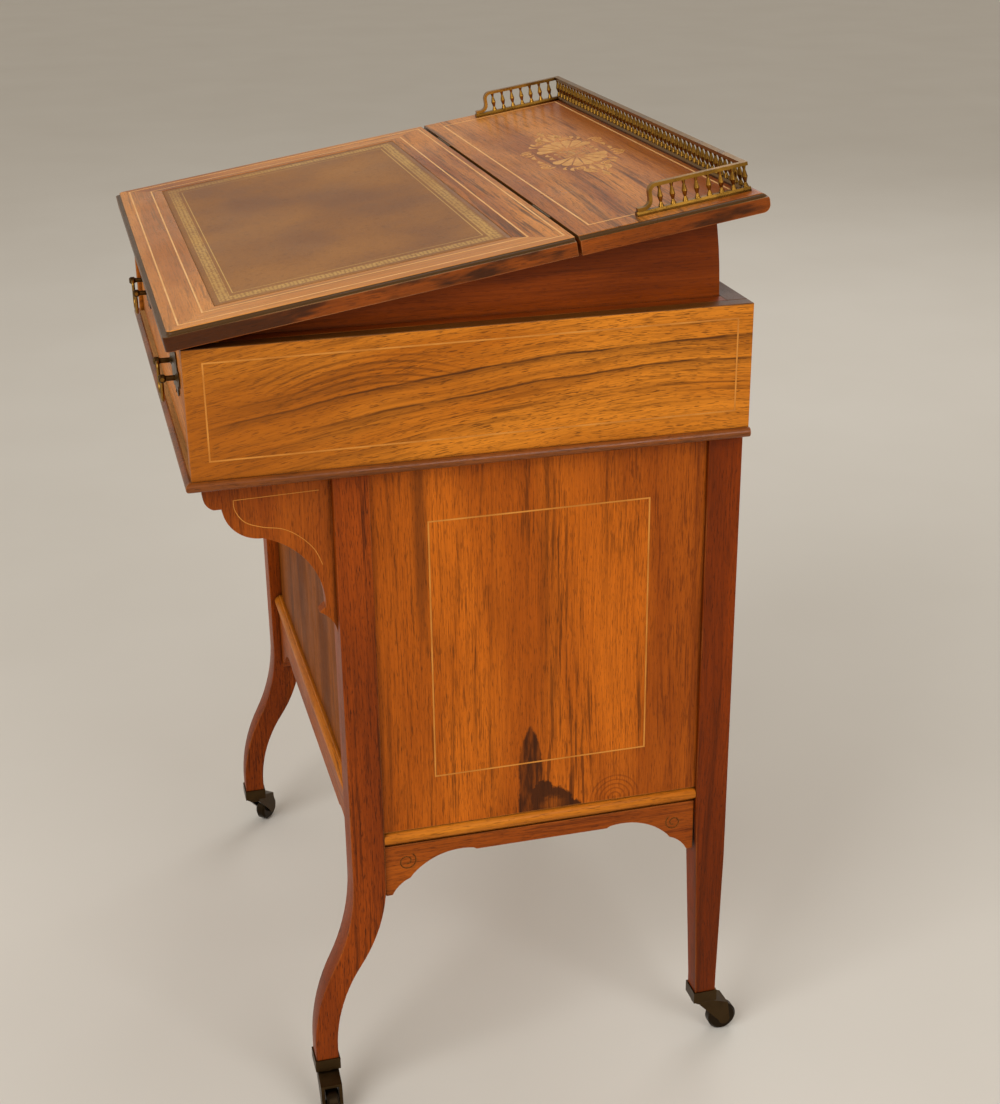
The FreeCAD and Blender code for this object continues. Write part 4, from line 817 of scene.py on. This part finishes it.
def eased(points, steps=8):
    """A smooth line through the points."""
    spots = [Vector(point) for point in [points[0], *points, points[-1]]]
    line = []
    for before, here, after, later in zip(spots, spots[1:], spots[2:], spots[3:]):
        for count in range(steps):
            share = count / steps
            line.append(0.5 * (2 * here + (after - before) * share
                               + (2 * before - 5 * here + 4 * after - later) * share ** 2
                               + (3 * here - before - 3 * after + later) * share ** 3))
    return line + [spots[-1]]


def strip(line, width):
    """The outline of a strip of one width along a line."""
    left, right = [], []
    for place, spot in enumerate(line):
        ahead = (line[min(place + 1, len(line) - 1)] - line[max(place - 1, 0)]).normalized()
        side = Vector((-ahead.y, ahead.x)) * width / 2
        left.append(tuple(spot + side))
        right.append(tuple(spot - side))
    return left + right[::-1]


def open_scroll(centre, reach, hand):
    """A line that winds inward once and a half round a centre."""
    line = []
    for count in range(SCROLL_STEPS + 1):
        angle = math.tau * SCROLL_TURNS * count / SCROLL_STEPS
        radius = reach * (1 - SCROLL_SHRINK * angle)
        across = hand * radius * math.cos(angle + SCROLL_START)
        rise = radius * math.sin(angle + SCROLL_START)
        line.append(Vector((centre[0] + across, centre[1] + rise)))
    return line


print("Points along a bracket line:", len(eased(BRACKET_CURVE)))

# %% Lay the curves
SCROLLS = [((0.176, 0.241), 0.0075, 1), ((-0.068, 0.243), 0.0085, -1)]
SCROLL_DARK = (tint("4A1E06"), tint("3A1604"), tint("1E0A02"))
BRACKET_WIDE = 0.0006

bracket_lines = []
for hand in (1, -1):
    face = on_face((hand, 0, 0), BRACKET_SIDE)
    for line in (BRACKET_TOP, BRACKET_CURVE):
        drawn = [Vector((hand * spot.x, spot.y)) for spot in eased(line)]
        bracket_lines.append((face, strip(drawn, BRACKET_WIDE)))
bracket_inlay = plates("bracket_strings", bracket_lines, string_wood)
scroll_lines = [(right_panel, strip(open_scroll(*scroll), STRING_WIDE)) for scroll in SCROLLS]
apron_scrolls = plates("apron_scrolls", scroll_lines, rosewood("dark_scroll", "Y", SCROLL_DARK, DULL))
for piece in (bracket_inlay, apron_scrolls):
    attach(piece, "carcase")
print("Curved strips:", len(bracket_lines) + len(scroll_lines))

# %% [markdown]
# ## The writing skin
# A skin of brown leather is glued into a shallow recess of the lid. Its border
# is tooled in gold: a stippled band with a fine line inside it. The skin is a
# closed slab with a finely divided, slightly uneven top, and the gold is laid
# in its material by the distance from the skin's edge.

# %% Cut the skin
SKIN_CENTRE, SKIN_HALF = LID_MITRE
SKIN_THICK, SKIN_LOW, GLUE = 0.0009, 0.0002, 0.0001
SKIN_CELLS = (114, 58)
SWELL, PRESS_DEEP, PRESS_WIDE = 0.00003, 0.00025, 0.0012


def skin_rise(x, y):
    """The skin lies a little unevenly, and is pressed down at its edge."""
    swell = math.sin(31 * x + 2) * math.sin(47 * y + 1) + 0.6 * math.sin(83 * x - 61 * y)
    margin = min(SKIN_HALF[0] - abs(x), SKIN_HALF[1] - abs(y))
    return SWELL * swell - PRESS_DEEP * max(0, 1 - margin / PRESS_WIDE) ** 2


def cut_skin():
    shape = bmesh.new()
    columns, rows = SKIN_CELLS
    xs = [SKIN_HALF[0] * (2 * column / columns - 1) for column in range(columns + 1)]
    ys = [SKIN_HALF[1] * (2 * row / rows - 1) for row in range(rows + 1)]
    grid = [[shape.verts.new((x, y, skin_rise(x, y))) for x in xs] for y in ys]
    for row in range(rows):
        for column in range(columns):
            shape.faces.new((grid[row][column], grid[row][column + 1],
                             grid[row + 1][column + 1], grid[row + 1][column]))
    right, left = [line[-1] for line in grid[1:]], [line[0] for line in grid[-2:0:-1]]
    rim = grid[0] + right + grid[-1][-2::-1] + left
    under = [shape.verts.new((corner.co.x, corner.co.y, -SKIN_THICK + GLUE)) for corner in rim]
    wall(shape, rim, under)
    shape.faces.new(under[::-1])
    bmesh.ops.recalc_face_normals(shape, faces=shape.faces)
    mesh = meshed("writing_skin", shape)
    mesh.shade_smooth()
    return mesh


skin = placed("writing_skin", cut_skin())
skin.matrix_world = raised @ Matrix.Translation((*SKIN_CENTRE, TOP_HEIGHT - SKIN_LOW))
print("Skin faces:", len(skin.data.polygons))

# %% Tan and tool the skin
BAND = ((0.2195, 0.1120), (0.2085, 0.1030))
LINE_AT, LINE_WIDE = (0.2015, 0.1000), 0.0006
BAND_SOFT = 0.0002


def tooled_leather():
    finish = Finish("tooled_leather")
    x, y, _ = finish.split(finish.place)
    across, along = finish.math("ABSOLUTE", x), finish.math("ABSOLUTE", y)

    def beyond(half):
        """How far outside a centred rectangle the place lies."""
        return finish.math("MAXIMUM", finish.math("SUBTRACT", across, half[0]),
                           finish.math("SUBTRACT", along, half[1]))

    worn = finish.noise(finish.place, 6, 2, 0.5)
    cloud = finish.noise(finish.moved(finish.place, (1, 1.2, 1), (3, 1, 0)), 9, 3, 0.5)
    cells = {"Vector": finish.place, "Scale": 900}
    grain = finish.node("TexVoronoi", cells, feature="DISTANCE_TO_EDGE").outputs[0]
    pebble = finish.step(grain, 0, 0.25)
    tone = finish.mix(finish.step(cloud, 0.25, 0.75), tint("845226"), tint("A8723C"))
    tone = finish.mix(finish.step(worn, 0.42, 0.78, 0, 0.5), tone, tint("B27E48"))
    specks = finish.step(finish.noise(finish.place, 160, 4, 0.7), 0.5, 0.75, 0, 0.42)
    tone = finish.mix(specks, tone, tint("5A3718"))
    tone = finish.mix(finish.step(pebble, 1, 0, 0, 0.3), tone, tint("4A2A12"))
    band = finish.math("MULTIPLY", finish.step(beyond(BAND[0]), BAND_SOFT, -BAND_SOFT),
                       finish.step(beyond(BAND[1]), -BAND_SOFT, BAND_SOFT))
    dots = finish.node("TexVoronoi", {"Vector": finish.moved(finish.place, (1, 1, 0)), "Scale": 320,
                                      "Randomness": 0.35}, feature="F1").outputs[0]
    stipple = finish.step(dots, 0.62, 0.3)
    fine = finish.step(finish.math("ABSOLUTE", beyond(LINE_AT)), LINE_WIDE, LINE_WIDE * 0.4)
    rubbed = finish.step(worn, 0.35, 0.6, 0.45, 0.95)
    stippled = finish.math("MULTIPLY", band, finish.math("MULTIPLY_ADD", stipple, 0.75, 0.12))
    gold = finish.math("MULTIPLY", finish.math("MAXIMUM", stippled, fine), rubbed)
    pressed = finish.math("MULTIPLY_ADD", pebble, 0.4, finish.math("MULTIPLY", gold, -1))
    return finish.shade({
        "Base Color": finish.mix(gold, tone, tint("D8AC60")),
        "Metallic": finish.math("MULTIPLY", gold, 0.4),
        "Roughness": finish.step(cloud, 0.3, 0.7, 0.36, 0.5),
        "Specular IOR Level": 0.15,
        "Coat Weight": 0.04,
        "Coat Roughness": 0.3,
        "Normal": finish.bump(pressed, 0.00012),
    })


skin.data.materials.append(tooled_leather())
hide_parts("leather")
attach(skin, "lid")
print("Tooled band from", BAND[0], "to", BAND[1])

# %% [markdown]
# ## Marquetry on the shelf
# In the middle of the shelf is a traditional ornament in pale boxwood: two
# scallop shells back to back, with leafy scrolls round them. A petal of a shell
# is a wedge with a rounded end, a leaf is a blade drawn along a bent spine,
# and a scroll is a strip that winds in on itself. The gaps between the plates
# read as the dark ground. One quarter is drawn and mirrored twice.

# %% Cut the shells
MOTIF_AT = (-0.004, 0.1635)
SHELL_ROOT, SHELL_REACH, SHELL_HALF = 0.014, 0.043, 0.0265
PETALS = 7
PETAL_SPAN, PETAL_GAP = 166, 0.11
PETAL_START, PETAL_ROUND = 0.16, 0.10
PETAL_SIDES = (-0.5, -0.42, -0.25, 0, 0.25, 0.42, 0.5)
FAN_REACH, FAN_ANGLES, FAN_WIDE = (0.0105, 0.0115), (-62, -31, 0, 31, 62), 24


def petal(root, reach, middle, spread):
    """A wedge with a rounded end, from a root point towards an angle in degrees."""
    def spot(angle, share):
        turned = math.radians(angle)
        return (root + reach[0] * share * math.cos(turned), reach[1] * share * math.sin(turned))

    rounded = [(middle + spread * side, 1 - PETAL_ROUND * abs(side * 2) ** 2.5)
               for side in PETAL_SIDES]
    return [spot(middle, PETAL_START)] + [spot(angle, share) for angle, share in rounded]


def shell():
    """The right shell: broad petals outward, and a narrow fan of small ones inward."""
    step = PETAL_SPAN / PETALS
    angles = [step * (count + 0.5) - PETAL_SPAN / 2 for count in range(PETALS)]
    reach, spread = (SHELL_REACH, SHELL_HALF), step * (1 - PETAL_GAP)
    broad = [petal(SHELL_ROOT, reach, angle, spread) for angle in angles]
    small = [petal(SHELL_ROOT, FAN_REACH, 180 + angle, FAN_WIDE) for angle in FAN_ANGLES]
    return broad + small


print("Petals of a shell:", len(shell()))

# %% Cut the leaves and scrolls
LEAVES = [  # start, bend and end of each leaf of the upper right quarter, and its width
    ((0.0590, 0.0010), (0.0700, 0.0060), (0.0860, 0.0012), 0.0038),
    ((0.0665, 0.0080), (0.0760, 0.0140), (0.0880, 0.0065), 0.0036),
    ((0.0700, 0.0050), (0.0780, 0.0110), (0.0930, 0.0030), 0.0030),
    ((0.0560, 0.0150), (0.0600, 0.0210), (0.0690, 0.0185), 0.0034),
    ((0.0480, 0.0185), (0.0520, 0.0260), (0.0600, 0.0225), 0.0030),
    ((0.0880, 0.0000), (0.0960, 0.0014), (0.1130, 0.0000), 0.0020),
    ((0.0985, 0.0000), (0.1010, 0.0030), (0.1045, 0.0032), 0.0018),
    ((0.0170, 0.0300), (0.0120, 0.0355), (0.0030, 0.0320), 0.0034),
    ((0.0240, 0.0285), (0.0200, 0.0330), (0.0225, 0.0375), 0.0030),
    ((0.0380, 0.0265), (0.0430, 0.0320), (0.0390, 0.0370), 0.0030),
    ((0.0010, 0.0180), (0.0060, 0.0240), (0.0125, 0.0190), 0.0036),
    ((0.0010, 0.0110), (0.0050, 0.0150), (0.0100, 0.0130), 0.0026),
]
CURLS = [  # centre, reach and hand of each scroll of that quarter
    ((0.0635, 0.0120), 0.0052, 1),
    ((0.0310, 0.0345), 0.0055, -1),
    ((0.0755, 0.0085), 0.0030, 1),
]
CURL_WIDE, ROSETTE = 0.0016, 0.0034


def blade(start, bend, end, width, swell=0.55, steps=9):
    """A leaf outline along a bent spine, pointed at both ends and widest at swell."""
    start, bend, end = Vector(start), Vector(bend), Vector(end)
    left, right = [], []
    for count in range(steps + 1):
        share = count / steps
        spot = start * (1 - share) ** 2 + bend * 2 * share * (1 - share) + end * share ** 2
        ahead = ((bend - start) * (1 - share) + (end - bend) * share).normalized()
        side = Vector((-ahead.y, ahead.x))
        rise = share / swell if share < swell else (1 - share) / (1 - swell)
        half = width / 2 * math.sin(math.pi / 2 * rise) ** 0.8
        left.append(spot + side * half)
        right.append(spot - side * half)
    return [tuple(spot) for spot in left + right[-2:0:-1]]


def quarter():
    leaves = [blade(*spots, width) for *spots, width in LEAVES]
    return leaves + [strip(open_scroll(*curl), CURL_WIDE) for curl in CURLS]


def rosette():
    return [(ROSETTE * math.cos(angle), ROSETTE * math.sin(angle))
            for angle in [math.tau * count / 16 for count in range(16)]]


def mirrored(outlines, across, along):
    return [[(x * across, y * along) for x, y in outline] for outline in outlines]


print("Leaves and scrolls of a quarter:", len(quarter()))

# %% Lay the ornament
SCORCH = (0.034, 0.010)


def inlaid_boxwood():
    """Boxwood scorched in hot sand, so each petal darkens towards its root."""
    finish = Finish("sand_shaded_boxwood")
    centre = on_top @ Vector((*MOTIF_AT, 0))
    away = finish.vector("SUBTRACT", finish.place, tuple(centre))
    cloud = finish.noise(finish.place, 180, 3)
    patchy = finish.step(cloud, 0.2, 0.7, 0.2, 0.6)
    scorch = finish.math("MULTIPLY", finish.step(finish.length(away), *SCORCH), patchy)
    tone = finish.mix(finish.step(cloud, 0.35, 0.65), tint("DA9E50"), tint("C6883C"))
    return finish.shade({
        "Base Color": finish.mix(scorch, tone, tint("8A5A2E")),
        "Roughness": 0.32,
        "Specular IOR Level": 0.12,
        "Coat Weight": 0.12,
        "Coat Roughness": 0.12,
        "Normal": finish.bump(cloud, 0.00003),
    })


motif_board = on_top @ Matrix.Translation((*MOTIF_AT, 0))
outlines = shell() + mirrored(shell(), -1, 1) + [rosette()]
for across in (1, -1):
    for along in (1, -1):
        outlines += mirrored(quarter(), across, along)
laid = [(motif_board, outline) for outline in outlines]
motif = plates("shelf_marquetry", laid, inlaid_boxwood())
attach(motif, "slope")
print("Marquetry pieces:", len(outlines))
